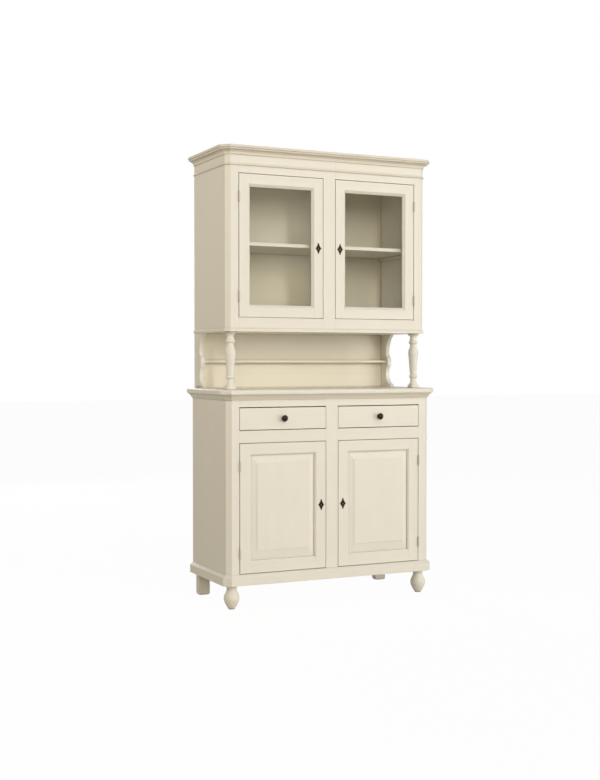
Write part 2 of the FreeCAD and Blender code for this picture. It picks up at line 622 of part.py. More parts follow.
# ---------------------------------------------------------------- doors, drawn for the left side
def inset_box(door, inset, y0, y1):
    """A block as large as the door less an inset on all four edges."""
    return box(door["outer"] + inset, door["inner"] - inset, y0, y1, door["bottom"] + inset, door["top"] - inset)


def inset_outline(door, inset, y):
    """The door's outline less an inset on all four edges, as a wire."""
    x0, x1 = door["outer"] + inset, door["inner"] - inset
    z0, z1 = door["bottom"] + inset, door["top"] - inset
    return Part.makePolygon([V(x0, y, z0), V(x1, y, z0), V(x1, y, z1), V(x0, y, z1), V(x0, y, z0)])


def taper(wire0, wire1):
    """A block with flat sides between two outlines."""
    return Part.makeLoft([wire0, wire1], True, True)


def framed(door, ring, member, edge, outset=0.0):
    """Part a ring into two stiles and two rails, butted over the width of the members and mitred over their
    moulded edge."""
    x0, x1 = door["outer"] + outset, door["inner"] - outset
    z0, z1 = door["bottom"] + outset, door["top"] - outset
    inner = member + edge
    left = [(x0, z0), (x0 + member, z0), (x0 + member, z0 + member), (x0 + inner, z0 + inner),
            (x0 + inner, z1 - inner), (x0 + member, z1 - member), (x0 + member, z1), (x0, z1)]
    if member == 0:
        left = [(x0, z0), (x0 + inner, z0 + inner), (x0 + inner, z1 - inner), (x0, z1)]
    right = [(x0 + x1 - x, z) for x, z in left]
    y0, y1 = door["front"] - OVERCUT, door["front"] + DOOR_THICKNESS + OVERCUT
    stiles = [ring.common(face_prism(outline, y0, y1)) for outline in (left, right)]
    rails = ring.cut(stiles)
    return stiles + rails.Solids


def lock_position(door):
    """The middle of the lock: on the inner edge of the door, halfway up and halfway through."""
    return V(door["inner"], door["front"] + DOOR_THICKNESS / 2, (door["bottom"] + door["top"]) / 2)


def keyhole(door, y0, y1):
    """The outline of the keyhole carried from y0 to y1."""
    x = door["inner"] - KEY_INSET
    z = lock_position(door).z
    barrel = Part.makeCylinder(KEYHOLE_RADIUS, y1 - y0, V(x, y0, z), V(0, 1, 0))
    slot = box(x - KEYHOLE_SLOT / 2, x + KEYHOLE_SLOT / 2, y0, y1, z - KEYHOLE_DROP, z)
    return barrel.fuse(slot)


def lock_pocket(door):
    """The mortise in the inner stile for the lock and its faceplate, and the keyhole that leads to it."""
    lock = lock_position(door)
    half = LOCK_THICKNESS / 2
    case = box(lock.x - LOCK_DEPTH, lock.x, lock.y - half, lock.y + half,
               lock.z - LOCK_HEIGHT / 2, lock.z + LOCK_HEIGHT / 2)
    plate = box(lock.x - FACEPLATE_THICKNESS, lock.x, lock.y - half, lock.y + half,
                lock.z - FACEPLATE_HEIGHT / 2, lock.z + FACEPLATE_HEIGHT / 2)
    return case.fuse(plate).fuse(keyhole(door, door["front"] - OVERCUT, lock.y))


def panelled_frame():
    door = BASE_DOOR
    front, back = door["front"], door["front"] + DOOR_THICKNESS
    sight = PANELLED_MEMBER + PANEL_BEVEL
    groove_front = front + PANEL_BEVEL + PANEL_LIP
    ring = inset_box(door, 0, front, back)
    ring = ring.cut([inset_box(door, sight, front - OVERCUT, back + OVERCUT),
                     taper(inset_outline(door, PANELLED_MEMBER, front),
                           inset_outline(door, sight, front + PANEL_BEVEL)),
                     inset_box(door, sight - PANEL_GROOVE, groove_front, groove_front + PANEL_TONGUE),
                     lock_pocket(door)])
    return framed(door, ring, PANELLED_MEMBER, PANEL_BEVEL)


def raised_panel():
    """The panel: a tongue in the frame's groove, a wide bevel and a raised field with a small shoulder."""
    door = BASE_DOOR
    front = door["front"]
    sight = PANELLED_MEMBER + PANEL_BEVEL
    tongue_front = front + PANEL_BEVEL + PANEL_LIP
    field_front = front + FIELD_RECESS
    shoulder = field_front + FIELD_SHOULDER
    field = dict(outer=door["outer"] + FIELD_SIDE_MARGIN, inner=door["inner"] - FIELD_SIDE_MARGIN,
                 bottom=door["bottom"] + FIELD_BOTTOM_MARGIN, top=door["top"] - FIELD_TOP_MARGIN)
    tongue = inset_box(door, sight - PANEL_GROOVE + PANEL_MOVEMENT, tongue_front, tongue_front + PANEL_TONGUE)
    bevel = taper(inset_outline(door, sight, tongue_front), inset_outline(field, sight, shoulder))
    raised = inset_box(field, sight, field_front, shoulder)
    return [tongue.fuse([bevel, raised]).removeSplitter()]


def glazed_frame():
    """The stiles and rails of a glazed door, and the four beads that hold the glass from behind."""
    door = CASE_DOOR
    front, back = door["front"], door["front"] + DOOR_THICKNESS
    sight = GLAZED_MEMBER + GLAZED_BEVEL
    rebate = sight - GLASS_REBATE
    glass_front = front + GLAZED_BEVEL + GLASS_LIP
    bead_front = glass_front + GLASS_THICKNESS
    ring = inset_box(door, 0, front, back)
    ring = ring.cut([inset_box(door, sight, front - OVERCUT, back + OVERCUT),
                     taper(inset_outline(door, GLAZED_MEMBER, front),
                           inset_outline(door, sight, front + GLAZED_BEVEL)),
                     inset_box(door, rebate, glass_front, back + OVERCUT),
                     lock_pocket(door)])
    beads = inset_box(door, rebate, bead_front, back).cut(
        inset_box(door, sight, bead_front - OVERCUT, back + OVERCUT))
    return framed(door, ring, GLAZED_MEMBER, GLAZED_BEVEL) + framed(door, beads, 0, GLASS_REBATE, rebate)


def glass_pane():
    door = CASE_DOOR
    glass_front = door["front"] + GLAZED_BEVEL + GLASS_LIP
    inset = GLAZED_MEMBER + GLAZED_BEVEL - GLASS_REBATE + GLASS_EDGE_CLEARANCE
    return [inset_box(door, inset, glass_front, glass_front + GLASS_THICKNESS)]


def escutcheon(door):
    """A lozenge plate with hollowed sides round the keyhole."""
    tip, side, top = ESCUTCHEON_TIP / 2, ESCUTCHEON_WIDTH / 2, ESCUTCHEON_HEIGHT / 2
    mid_x, mid_z = side * ESCUTCHEON_HOLLOW, top * ESCUTCHEON_HOLLOW
    outline = section([(tip, top), (mid_x, mid_z, side, 0), (mid_x, -mid_z, tip, -top), (-tip, -top),
                       (-mid_x, -mid_z, -side, 0), (-mid_x, mid_z, -tip, top)])
    plate = outline.extrude(V(0, ESCUTCHEON_THICKNESS, 0))
    plate.translate(V(door["inner"] - KEY_INSET, door["front"] - ESCUTCHEON_THICKNESS, lock_position(door).z))
    return [plate.cut(keyhole(door, door["front"] - ESCUTCHEON_THICKNESS - OVERCUT, door["front"] + OVERCUT))]


def lock(door):
    """The lock in the door's edge: its case and faceplate in one, with the bolt's way and the keyhole."""
    middle = lock_position(door)
    half = LOCK_THICKNESS / 2
    case = box(middle.x - LOCK_DEPTH, middle.x, middle.y - half, middle.y + half,
               middle.z - LOCK_HEIGHT / 2, middle.z + LOCK_HEIGHT / 2)
    plate = box(middle.x - FACEPLATE_THICKNESS, middle.x, middle.y - half, middle.y + half,
                middle.z - FACEPLATE_HEIGHT / 2, middle.z + FACEPLATE_HEIGHT / 2)
    way = bolt_block(door, BOLT_CLEARANCE)
    key = keyhole(door, middle.y - half, middle.y - half + LOCK_FRONT_WALL)
    return [case.fuse(plate).removeSplitter().cut([way, key])]


def bolt_block(door, clearance):
    """The bolt's block, grown all round by a clearance, and open at the edge of the door."""
    middle = lock_position(door)
    half_y = BOLT_THICKNESS / 2 + clearance
    half_z = BOLT_HEIGHT / 2 + clearance
    return box(middle.x - BOLT_LENGTH - clearance, middle.x, middle.y - half_y, middle.y + half_y,
               middle.z - half_z, middle.z + half_z)


def hinge_axes(door):
    """Where the two hinges of a door turn: the middle of the gap, just in front of the face."""
    x = door["outer"] - HINGE_GAP / 2
    y = door["front"] - KNUCKLE_RADIUS - KNUCKLE_STAND_OFF
    return [V(x, y, door["bottom"] + HINGE_FROM_BOTTOM), V(x, y, door["top"] - HINGE_FROM_TOP)]


def hinge_leaf(door, centre, side, knuckles):
    """A leaf flat against an edge (side -1 the frame, 1 the door) and joined to its own knuckles."""
    edge = centre.x + side * HINGE_GAP / 2
    face = edge - side * HINGE_LEAF_THICKNESS
    x0, x1 = min(edge, face), max(edge, face)
    half = HINGE_LEAF_HEIGHT / 2
    leaf = box(x0, x1, door["front"], door["front"] + HINGE_LEAF_DEPTH, centre.z - half, centre.z + half)
    for z0, z1 in knuckles:
        neck = box(x0, x1, centre.y, door["front"], centre.z + z0, centre.z + z1)
        knuckle = Part.makeCylinder(KNUCKLE_RADIUS, z1 - z0, V(centre.x, centre.y, centre.z + z0))
        leaf = leaf.fuse([neck, knuckle])
    bore = Part.makeCylinder(PIN_RADIUS + PIN_CLEARANCE, 2 * half, V(centre.x, centre.y, centre.z - half))
    return leaf.removeSplitter().cut(bore)


def knuckle_spans():
    """The heights of the frame's two knuckles and of the door's one between them, from the hinge's middle."""
    half = HINGE_LEAF_HEIGHT / 2
    third = HINGE_LEAF_HEIGHT / 6
    frame = [(-half, -third - KNUCKLE_GAP), (third + KNUCKLE_GAP, half)]
    return frame, [(-third, third)]


def frame_hinge(door):
    """For each hinge of a door, the leaf on the frame and the pin with its finials."""
    pieces = []
    half = HINGE_LEAF_HEIGHT / 2
    for centre in hinge_axes(door):
        pieces.append(hinge_leaf(door, centre, -1, knuckle_spans()[0]))
        collar = half + FINIAL_COLLAR
        ball = collar + sqrt(FINIAL_RADIUS ** 2 - PIN_RADIUS ** 2)
        tip = ball + FINIAL_RADIUS
        pin = [(0, -tip), (FINIAL_RADIUS, -ball, PIN_RADIUS, -collar), (COLLAR_RADIUS, -collar),
               (COLLAR_RADIUS, -half), (PIN_RADIUS, -half), (PIN_RADIUS, half), (COLLAR_RADIUS, half),
               (COLLAR_RADIUS, collar), (PIN_RADIUS, collar), (FINIAL_RADIUS, ball, 0, tip)]
        pieces.append(turned(pin, centre.x, centre.y, centre.z))
    return pieces


def door_hinge(door):
    """The leaves on the edge of the door."""
    return [hinge_leaf(door, centre, 1, knuckle_spans()[1]) for centre in hinge_axes(door)]


# ---------------------------------------------------------------- drawers, drawn for the left side
DRAWER_LEFT = -BASE_OPENING_EDGE + DRAWER_GAP
DRAWER_RIGHT = -STILE_HALF - DRAWER_GAP
DRAWER_MIDDLE = (DRAWER_LEFT + DRAWER_RIGHT) / 2
DRAWER_CENTRE_Z = Z_DRAWER + DRAWER_OPENING / 2
BOX_LEFT = -BASE_OPENING_EDGE + DRAWER_SIDE_GAP
BOX_RIGHT = -STILE_HALF - DRAWER_SIDE_GAP
BOX_FRONT = BASE_FRONT + DRAWER_FRONT_THICKNESS
BOX_BACK = BACK_FACE - DRAWER_BACK_CLEARANCE
BOX_BOTTOM = Z_DRAWER + DRAWER_RUNNING_GAP
BOX_TOP = Z_BASE_TOP_RAIL - DRAWER_BOX_DROP


def drawer_bottom():
    """The thin bottom, let into grooves in the front, the sides and the back."""
    z = BOX_BOTTOM + DRAWER_BOTTOM_RISE
    inset = DRAWER_SIDE_THICKNESS - DRAWER_GROOVE
    return box(BOX_LEFT + inset, BOX_RIGHT - inset, BOX_FRONT - DRAWER_GROOVE, BOX_BACK - inset,
               z, z + DRAWER_BOTTOM_THICKNESS)


def drawer_front():
    front = box(DRAWER_LEFT, DRAWER_RIGHT, BASE_FRONT, BOX_FRONT,
                Z_DRAWER + DRAWER_BOTTOM_GAP, Z_BASE_TOP_RAIL - DRAWER_TOP_GAP)
    screw_hole = Part.makeCylinder(KNOB_SCREW_RADIUS + PIN_CLEARANCE, DRAWER_FRONT_THICKNESS,
                                   V(DRAWER_MIDDLE, BASE_FRONT, DRAWER_CENTRE_Z), V(0, 1, 0))
    return [front.cut([drawer_bottom(), screw_hole])]


def drawer_box():
    bottom = drawer_bottom()
    left = box(BOX_LEFT, BOX_LEFT + DRAWER_SIDE_THICKNESS, BOX_FRONT, BOX_BACK, BOX_BOTTOM, BOX_TOP)
    right = left.translated(V(BOX_RIGHT - BOX_LEFT - DRAWER_SIDE_THICKNESS, 0, 0))
    back = box(BOX_LEFT + DRAWER_SIDE_THICKNESS, BOX_RIGHT - DRAWER_SIDE_THICKNESS,
               BOX_BACK - DRAWER_SIDE_THICKNESS, BOX_BACK, BOX_BOTTOM, BOX_TOP)
    return [left.cut(bottom), right.cut(bottom), back.cut(bottom), bottom]


def drawer_knob():
    """A turned knob on a small rose, and the screw that holds it from inside the drawer."""
    hole = KNOB_SCREW_RADIUS + PIN_CLEARANCE
    body = scaled(KNOB_OUTLINE, KNOB_RADIUS, KNOB_PROJECTION)
    widest, rim = body[-1][-2:]
    knob = [(hole, 0), (KNOB_ROSE_RADIUS, 0), (KNOB_ROSE_RADIUS, KNOB_ROSE_THICKNESS)] + body
    knob += [dome(widest, rim, KNOB_PROJECTION), (0, KNOB_SCREW_DEPTH), (hole, KNOB_SCREW_DEPTH)]
    inside = DRAWER_FRONT_THICKNESS
    head = inside + KNOB_SCREW_HEAD_HEIGHT
    tip = KNOB_SCREW_DEPTH - KNOB_SCREW_TIP_GAP
    screw = [(0, -head), (KNOB_SCREW_HEAD_RADIUS, -head), (KNOB_SCREW_HEAD_RADIUS, -inside),
             (KNOB_SCREW_RADIUS, -inside), (KNOB_SCREW_RADIUS, tip), (0, tip)]
    pieces = []
    for profile in (knob, screw):
        piece = turned(profile, 0, 0, 0)
        piece.rotate(V(0, 0, 0), V(1, 0, 0), 90)
        pieces.append(piece.translated(V(DRAWER_MIDDLE, BASE_FRONT, DRAWER_CENTRE_Z)))
    return pieces


# ---------------------------------------------------------------- writing the nodes
def frame_hinges():
    return both_sides(*(frame_hinge(CASE_DOOR) + frame_hinge(BASE_DOOR)))


NODES = {
    "base_sides": base_sides, "base_uprights": base_uprights, "base_rails": base_rails, "base_back": base_back,
    "cupboard_floor": cupboard_floor, "cupboard_shelf": cupboard_shelf, "shelf_cleats": shelf_cleats,
    "drawer_runners": drawer_runners, "corner_blocks": corner_blocks, "plinth": plinth,
    "worktop": worktop, "worktop_moulding": worktop_moulding, "front_feet": front_feet, "rear_feet": rear_feet,
    "case_sides": case_sides, "case_uprights": case_uprights, "case_rails": case_rails,
    "case_base_board": case_base_board, "case_floor": case_floor, "case_top": case_top, "case_back": case_back,
    "case_shelf": case_shelf, "cornice": cornice, "astragal": astragal,
    "niche_back": niche_back, "niche_shelf": niche_shelf, "side_brackets": side_brackets, "balusters": balusters,
    "frame_hinges": frame_hinges,
}

LEFT_PIECES = {
    "upper_{}_door_frame": glazed_frame(),
    "upper_{}_door_glass": glass_pane(),
    "upper_{}_door_escutcheon": escutcheon(CASE_DOOR),
    "upper_{}_door_lock": lock(CASE_DOOR),
    "upper_{}_door_bolt": [bolt_block(CASE_DOOR, 0)],
    "upper_{}_door_hinges": door_hinge(CASE_DOOR),
    "lower_{}_door_frame": panelled_frame(),
    "lower_{}_door_panel": raised_panel(),
    "lower_{}_door_escutcheon": escutcheon(BASE_DOOR),
    "lower_{}_door_lock": lock(BASE_DOOR),
    "lower_{}_door_bolt": [bolt_block(BASE_DOOR, 0)],
    "lower_{}_door_hinges": door_hinge(BASE_DOOR),
    "{}_drawer_front": drawer_front(),
    "{}_drawer_box": drawer_box(),
    "{}_drawer_knob": drawer_knob(),
}


def write(node, pieces):
    solids = [solid for piece in pieces for solid in piece.Solids]
    shape = solids[0] if len(solids) == 1 else Part.makeCompound(solids)
    shape.exportStep(os.path.join("parts", node + ".step"))


os.makedirs("parts", exist_ok=True)
for node, make in NODES.items():
    write(node, make())
for name, pieces in LEFT_PIECES.items():
    write(name.format("left"), pieces)
    write(name.format("right"), [mirrored(piece) for piece in pieces])
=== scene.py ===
"""Finishes, small fastenings and the studio for a painted dresser with a glazed hutch."""
import json
from math import cos, pi, radians, sin

import bmesh
import bpy
from bpy.props import FloatProperty, FloatVectorProperty, IntProperty, PointerProperty
from mathutils import Euler, Matrix, Vector


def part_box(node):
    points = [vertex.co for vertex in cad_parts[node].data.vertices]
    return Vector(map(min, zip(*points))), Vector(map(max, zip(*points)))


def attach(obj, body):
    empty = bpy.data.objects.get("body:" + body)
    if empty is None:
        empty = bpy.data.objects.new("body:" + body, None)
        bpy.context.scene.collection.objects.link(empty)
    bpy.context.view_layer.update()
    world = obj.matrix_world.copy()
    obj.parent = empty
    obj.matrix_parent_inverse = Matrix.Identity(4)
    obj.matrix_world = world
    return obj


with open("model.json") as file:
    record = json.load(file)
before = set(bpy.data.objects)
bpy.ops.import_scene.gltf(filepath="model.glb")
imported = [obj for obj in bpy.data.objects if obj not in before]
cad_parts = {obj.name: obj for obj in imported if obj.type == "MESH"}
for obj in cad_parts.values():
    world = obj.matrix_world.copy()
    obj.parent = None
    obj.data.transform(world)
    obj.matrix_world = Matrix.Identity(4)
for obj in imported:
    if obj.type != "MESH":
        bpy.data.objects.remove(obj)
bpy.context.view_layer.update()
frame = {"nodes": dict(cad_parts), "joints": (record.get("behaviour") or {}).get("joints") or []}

bl_info = {
    "name": "Painted Dresser",
    "version": (1, 0, 0),
    "blender": (4, 5, 0),
    "location": "View3D > Sidebar > Dresser",
    "description": "Paint, timber, glass, metal and small fastenings for a dresser, "
                   "and the studio it stands in",
    "category": "Object",
}

NODES = frame["nodes"]
SIDES = ("left", "right")
DOORS = [f"{tier}_{side}_door" for tier in ("upper", "lower") for side in SIDES]
DRAWERS = [f"{side}_drawer" for side in SIDES]

# Width of the flat of a door's stiles and rails.
DOOR_MEMBERS = {"upper": 0.0455, "lower": 0.05}

# Painted boards, by the way the brush ran.
BRUSHED_UPRIGHT = ["base_sides", "base_uprights", "base_back", "case_sides", "case_uprights",
                   "side_brackets", "rear_feet", "lower_left_door_panel",
                   "lower_right_door_panel"]
BRUSHED_ACROSS = ["base_rails", "case_rails", "case_base_board", "case_shelf", "case_floor",
                  "niche_shelf", "worktop", "cupboard_floor", "cupboard_shelf",
                  "left_drawer_front", "right_drawer_front"]
BRUSHED_ROUND = ["plinth", "balusters", "front_feet", "shelf_cleats"]

# Boards deep in the hutch, whose paint is tinted warmer and darker where other boards stand
# near, as painted shade.
SHADED_UPRIGHT = ["case_back"]
SHADED_ACROSS = ["case_top", "niche_back"]

# Mouldings, painted a darker body colour and a stronger dark brown in their quirks, as painted
# shade.
MOULDINGS = ["worktop_moulding", "cornice", "astragal"]

BARE_TIMBER = ["drawer_runners", "corner_blocks", "left_drawer_box", "right_drawer_box"]
BACKS = ["base_back", "niche_back", "case_back"]

# Boards whose solids stand apart within their node, so that their arrises can be taken off.
SQUARE_BOARDS = ["base_sides", "base_uprights", "base_rails", "base_back", "cupboard_floor",
                 "cupboard_shelf", "shelf_cleats", "corner_blocks", "case_sides",
                 "case_uprights", "case_rails", "case_floor", "case_top", "case_back",
                 "case_shelf", "niche_back", "niche_shelf", "left_drawer_front",
                 "right_drawer_front", "lower_left_door_panel", "lower_right_door_panel"]

# How near the corners of two faces lie that are joined before the arrises are taken off, and
# the least angle and the facets of an arris.
WELD_DISTANCE = 0.00001
ARRIS_ANGLE = radians(20)
ARRIS_FACETS = 2


# ---------------------------------------------------------------- settings to change
def colour_setting(name, description, default):
    return FloatVectorProperty(name=name, description=description, subtype="COLOR", size=3,
                               min=0, max=1, default=default)


def length_setting(name, description, default):
    return FloatProperty(name=name, description=description, unit="LENGTH", default=default)


def share_setting(name, description, default):
    return FloatProperty(name=name, description=description, subtype="FACTOR", min=0, max=1,
                         default=default)


def power_setting(name, description, default):
    return FloatProperty(name=name, description=description, unit="POWER", default=default)


class DresserPaint(bpy.types.PropertyGroup):
    colour: colour_setting("Colour", "Body colour of the paint", (0.83, 0.809, 0.73))
    # Painted shade: deep in the hutch the paint is multiplied by this warm colour, more so where
    # other boards stand near.
    shade_painted_in: colour_setting(
        "Yellowed", "How the paint deep in the hutch has yellowed where little light comes",
        (1.0, 0.95, 0.86))
    deep_shade_reach: length_setting(
        "Yellowed reach", "How near other boards stand where the paint has yellowed", 0.45)
    # Painted shade: the mouldings take this darker body colour, as shade on their downward
    # faces.
    shaded_moulding_colour: colour_setting(
        "Moulded colour", "Body colour of the mouldings, where a thin glaze stays on the paint",
        (0.755, 0.715, 0.625))
    # Painted shade: how much more of the dark quirk colour is painted into the mouldings.
    moulding_quirk_shade: FloatProperty(
        name="Moulded glaze", description="How much stronger the dark glaze is in the mouldings",
        min=0, max=4, default=1.8)
    # Painted shade: the share of the dark quirk colour painted on uprights, backs and upper
    # doors.
    thin_quirk_shade: share_setting(
        "Thin glaze", "How much of the dark glaze is left on uprights, backs and upper doors",
        0.25)
    # Painted shade: this warm brown is mixed into the paint in corners, where shade falls.
    glaze: colour_setting("Glaze", "Colour that gathers in corners", (0.47, 0.38, 0.24))
    corner_shade_reach: length_setting("Glaze reach", "How far the glaze spreads from a corner", 0.012)
    corner_shade_strength: share_setting(
        "Glaze strength", "How strongly the glaze tints a corner", 0.42)
    # Painted shade: this dark brown is mixed into the paint deep in the quirks of the mouldings
    # and in the gaps.
    quirk: colour_setting(
        "Quirk", "Colour deep in the quirks of the mouldings and in the gaps",
        (0.20, 0.12, 0.05))
    quirk_reach: length_setting(
        "Quirk reach", "How far the dark glaze comes out of a quirk", 0.009)
    quirk_strength: share_setting(
        "Quirk strength", "How strongly the dark glaze tints a quirk", 0.9)
    mark_width: length_setting("Brush mark width", "Width of one brush mark", 0.0035)
    mark_length: length_setting("Brush mark length", "Length of one brush mark", 0.22)
    mark_depth: length_setting(
        "Brush mark depth", "Depth of the furrows of the brush", 0.00012)
    arris: length_setting("Arris", "Width taken off the edges of the boards", 0.0006)
    edge_round: length_setting(
        "Paint round", "Radius that the paint gives to an edge", 0.0014)
    roughness: share_setting("Roughness", "Roughness of the dry paint", 0.46)


class DresserTimber(bpy.types.PropertyGroup):
    early_wood: colour_setting("Early wood", "Pale wood between the rings", (0.66, 0.47, 0.27))
    late_wood: colour_setting("Late wood", "Darker wood of the rings", (0.43, 0.25, 0.11))
    ring_spacing: length_setting("Ring spacing", "Distance between two rings", 0.0045)
    roughness: share_setting("Roughness", "Roughness of the planed wood", 0.6)


class DresserMetal(bpy.types.PropertyGroup):
    bronze: colour_setting(
        "Bronze", "Dark patina of the knobs and escutcheons", (0.020, 0.015, 0.009))
    rubbed_bronze: colour_setting(
        "Rubbed bronze", "Bronze where hands have rubbed it", (0.22, 0.16, 0.085))
    steel: colour_setting("Steel", "Steel of the locks and bolts", (0.46, 0.45, 0.43))
    hinge_wear: share_setting(
        "Hinge wear", "How much metal shows through the paint of the hinges", 0.45)


class DresserGlazing(bpy.types.PropertyGroup):
    tint: colour_setting("Tint", "Light that passes the glass", (0.975, 0.982, 0.975))
    dust: share_setting("Dust", "How much the glass is clouded", 0.005)


class DresserFastenings(bpy.types.PropertyGroup):
    hinge_screw: length_setting("Hinge screw", "Radius of a hinge screw's head", 0.0026)
    lock_screw: length_setting("Lock screw", "Radius of a faceplate screw's head", 0.0022)
    screw_rise: length_setting("Screw rise", "How far a screw's head stands out", 0.0002)
    pin: length_setting("Escutcheon pin", "Radius of an escutcheon pin's head", 0.0012)
    nail: length_setting("Nail", "Radius of the head of a nail in the back boards", 0.0024)
    nail_spacing: length_setting("Nail spacing", "Distance between two nails", 0.13)
    sides: IntProperty(
        name="Sides", description="Sides of a round head", min=8, max=64, default=20)


class DresserStudio(bpy.types.PropertyGroup):
    key_power: power_setting(
        "Key strip", "Power of the tall strip in front, which shines through the doors", 255)
    right_power: power_setting(
        "Right softbox", "Power of the wide softbox at the right", 172)
    low_power: power_setting("Low softbox", "Power of the low softbox at the right", 148)
    front_power: power_setting("Front softbox", "Power of the softbox in front", 50)
    left_power: power_setting("Left softbox", "Power of the softbox at the left", 146)
    high_power: power_setting("High softbox", "Power of the softbox high in front", 108)
    side_power: power_setting("Side softbox", "Power of the softbox by the left side", 34)
    back_power: power_setting(
        "Back softbox", "Power of the softbox behind, which the front doesn't see", 120)
    plain: colour_setting("Plain light", "Colour of the near white lamps", (0.985, 0.985, 0.975))
    warm: colour_setting("Warm light", "Colour of the warmer lamps", (1.0, 0.885, 0.71))
    floor_colour: colour_setting(
        "Floor", "Colour of the floor, as it lights the dresser from below",
        (0.60, 0.53, 0.42))
    floor_shade: share_setting(
        "Floor shade", "How much of the floor's own shading shows", 0.03)
    lens: FloatProperty(
        name="Lens", description="Focal length of the camera", unit="CAMERA", default=56.64)


GROUPS = {"dresser_paint": DresserPaint, "dresser_timber": DresserTimber,
          "dresser_metal": DresserMetal, "dresser_glazing": DresserGlazing,
          "dresser_fastenings": DresserFastenings, "dresser_studio": DresserStudio}


# ---------------------------------------------------------------- shader nodes
# Sockets of a Mix node, by the kind of value: the two inputs and the output.
MIX_SOCKETS = {"RGBA": (6, 7, 2), "VECTOR": (4, 5, 1)}

# Rays sent out to find what stands near a point, and to ease an edge.
CREVICE_SAMPLES = 8
EDGE_SAMPLES = 4

# How far the eased normal leaves the flat, as 1 less their cosine, on an edge.
EDGE_TURN = (0.01, 0.18)


class Signal:
    """A socket in a finish, so that sums of sockets and numbers read as plain sums."""

    def __init__(self, finish, socket):
        self.finish = finish
        self.socket = socket

    def sum(self, operation, first, second=0.0):
        return self.finish.node("ShaderNodeMath", {"operation": operation},
                                {0: first, 1: second})

    def __add__(self, other):
        return self.sum("ADD", self, other)

    def __radd__(self, other):
        return self.sum("ADD", other, self)

    def __sub__(self, other):
        return self.sum("SUBTRACT", self, other)

    def __rsub__(self, other):
        return self.sum("SUBTRACT", other, self)

    def __mul__(self, other):
        return self.sum("MULTIPLY", self, other)

    def __rmul__(self, other):
        return self.sum("MULTIPLY", other, self)

    def __pow__(self, other):
        return self.sum("POWER", self, other)

    def __abs__(self):
        return self.sum("ABSOLUTE", self)

    def __gt__(self, other):
        return self.sum("GREATER_THAN", self, other)

    def least(self, other):
        return self.sum("MINIMUM", self, other)

    def sine(self):
        return self.sum("SINE", self)


class Finish:
    """The nodes of a material or a world, and the ways in which they are added."""

    def __init__(self, owner, output="ShaderNodeOutputMaterial"):
        owner.use_nodes = True
        self.owner = owner
        self.output = output
        self.tree = owner.node_tree
        self.tree.nodes.clear()

    def node(self, kind, settings=None, inputs=None, output=0):
        """Adds a node, with its settings first and then the values or links of its sockets."""
        node = self.tree.nodes.new(kind)
        for name, value in (settings or {}).items():
            setattr(node, name, value)
        for socket, value in (inputs or {}).items():
            if isinstance(value, Signal):
                self.tree.links.new(value.socket, node.inputs[socket])
            else:
                node.inputs[socket].default_value = value
        return Signal(self, node.outputs[output])

    def outputs(self, kind, names, inputs=None):
        """Several outputs of one node."""
        sockets = self.node(kind, None, inputs).socket.node.outputs
        return [Signal(self, sockets[name]) for name in names]

    def place(self):
        """Where a point lies on the dresser at rest."""
        return self.node("ShaderNodeTexCoord", output="Object")

    def along(self, place, x, y, z):
        """Places stretched by a factor along each axis."""
        return self.node("ShaderNodeVectorMath", {"operation": "MULTIPLY"},
                         {0: place, 1: (x, y, z)})

    def axes(self, place):
        return self.outputs("ShaderNodeSeparateXYZ", "XYZ", {0: place})

    def noise(self, place, scale, detail, roughness):
        """Noise about zero, from -0.5 to 0.5."""
        inputs = {"Vector": place, "Scale": scale, "Detail": detail, "Roughness": roughness}
        return self.node("ShaderNodeTexNoise", None, inputs) - 0.5

    def band(self, value, low, high):
        """0 below low and 1 above high, with a soft change between them."""
        return self.node("ShaderNodeMapRange", {"interpolation_type": "SMOOTHSTEP"},
                         {0: value, 1: low, 2: high})

    def mix(self, kind, factor, first, second, settings=None):
        """One value where the factor is 0 and another where it is 1."""
        first_input, second_input, output = MIX_SOCKETS[kind]
        return self.node("ShaderNodeMix", {"data_type": kind, **(settings or {})},
                         {0: factor, first_input: first, second_input: second}, output)

    def tint(self, factor, first, second, blend_type="MIX"):
        """One colour where the factor is 0 and another where it is 1."""
        first, second = (value if isinstance(value, Signal) else (*value, 1)
                         for value in (first, second))
        return self.mix("RGBA", factor, first, second,
                        {"blend_type": blend_type, "clamp_factor": True})

    def bump(self, height, depth, normal=None):
        inputs = {"Height": height, "Distance": depth, "Strength": 1.0}
        if normal is not None:
            inputs["Normal"] = normal
        return self.node("ShaderNodeBump", None, inputs)

    def crevices(self, reach):
        """1 deep in a corner or gap and 0 where nothing stands within reach."""
        return 1 - self.node("ShaderNodeAmbientOcclusion", {"samples": CREVICE_SAMPLES},
                             {"Distance": reach}, "AO")

    def eased(self, radius):
        """The normal with every edge eased to a small radius."""
        return self.node("ShaderNodeBevel", {"samples": EDGE_SAMPLES}, {"Radius": radius})

    def edges(self, eased):
        """1 on the edges that were eased and 0 on the flats."""
        flat = self.node("ShaderNodeNewGeometry", output="Normal")
        cosine = self.node("ShaderNodeVectorMath", {"operation": "DOT_PRODUCT"},
                           {0: eased, 1: flat}, "Value")
        return self.band(1 - cosine, *EDGE_TURN)

    def seen(self):
        """1 to the camera, in reflections and through glass, and 0 to all other light."""
        camera, glossy, transmission = self.outputs(
            "ShaderNodeLightPath", ("Is Camera Ray", "Is Glossy Ray", "Is Transmission Ray"))
        return (camera + glossy + transmission).least(1.0)

    def surface(self, **inputs):
        """The principled shader as the material's surface."""
        return self.show(self.node("ShaderNodeBsdfPrincipled", None, {
            name.replace("_", " "):
                value if isinstance(value, (Signal, float, int)) else (*value, 1)
            for name, value in inputs.items()}))

    def show(self, shader):
        output = self.tree.nodes.new(self.output)
        self.tree.links.new(shader.socket, output.inputs["Surface"])
        return self.owner


def blend(start, shares, textures):
    """A start with a share of each texture added to it."""
    return sum((textures[texture] * share for texture, share in shares.items()), start)


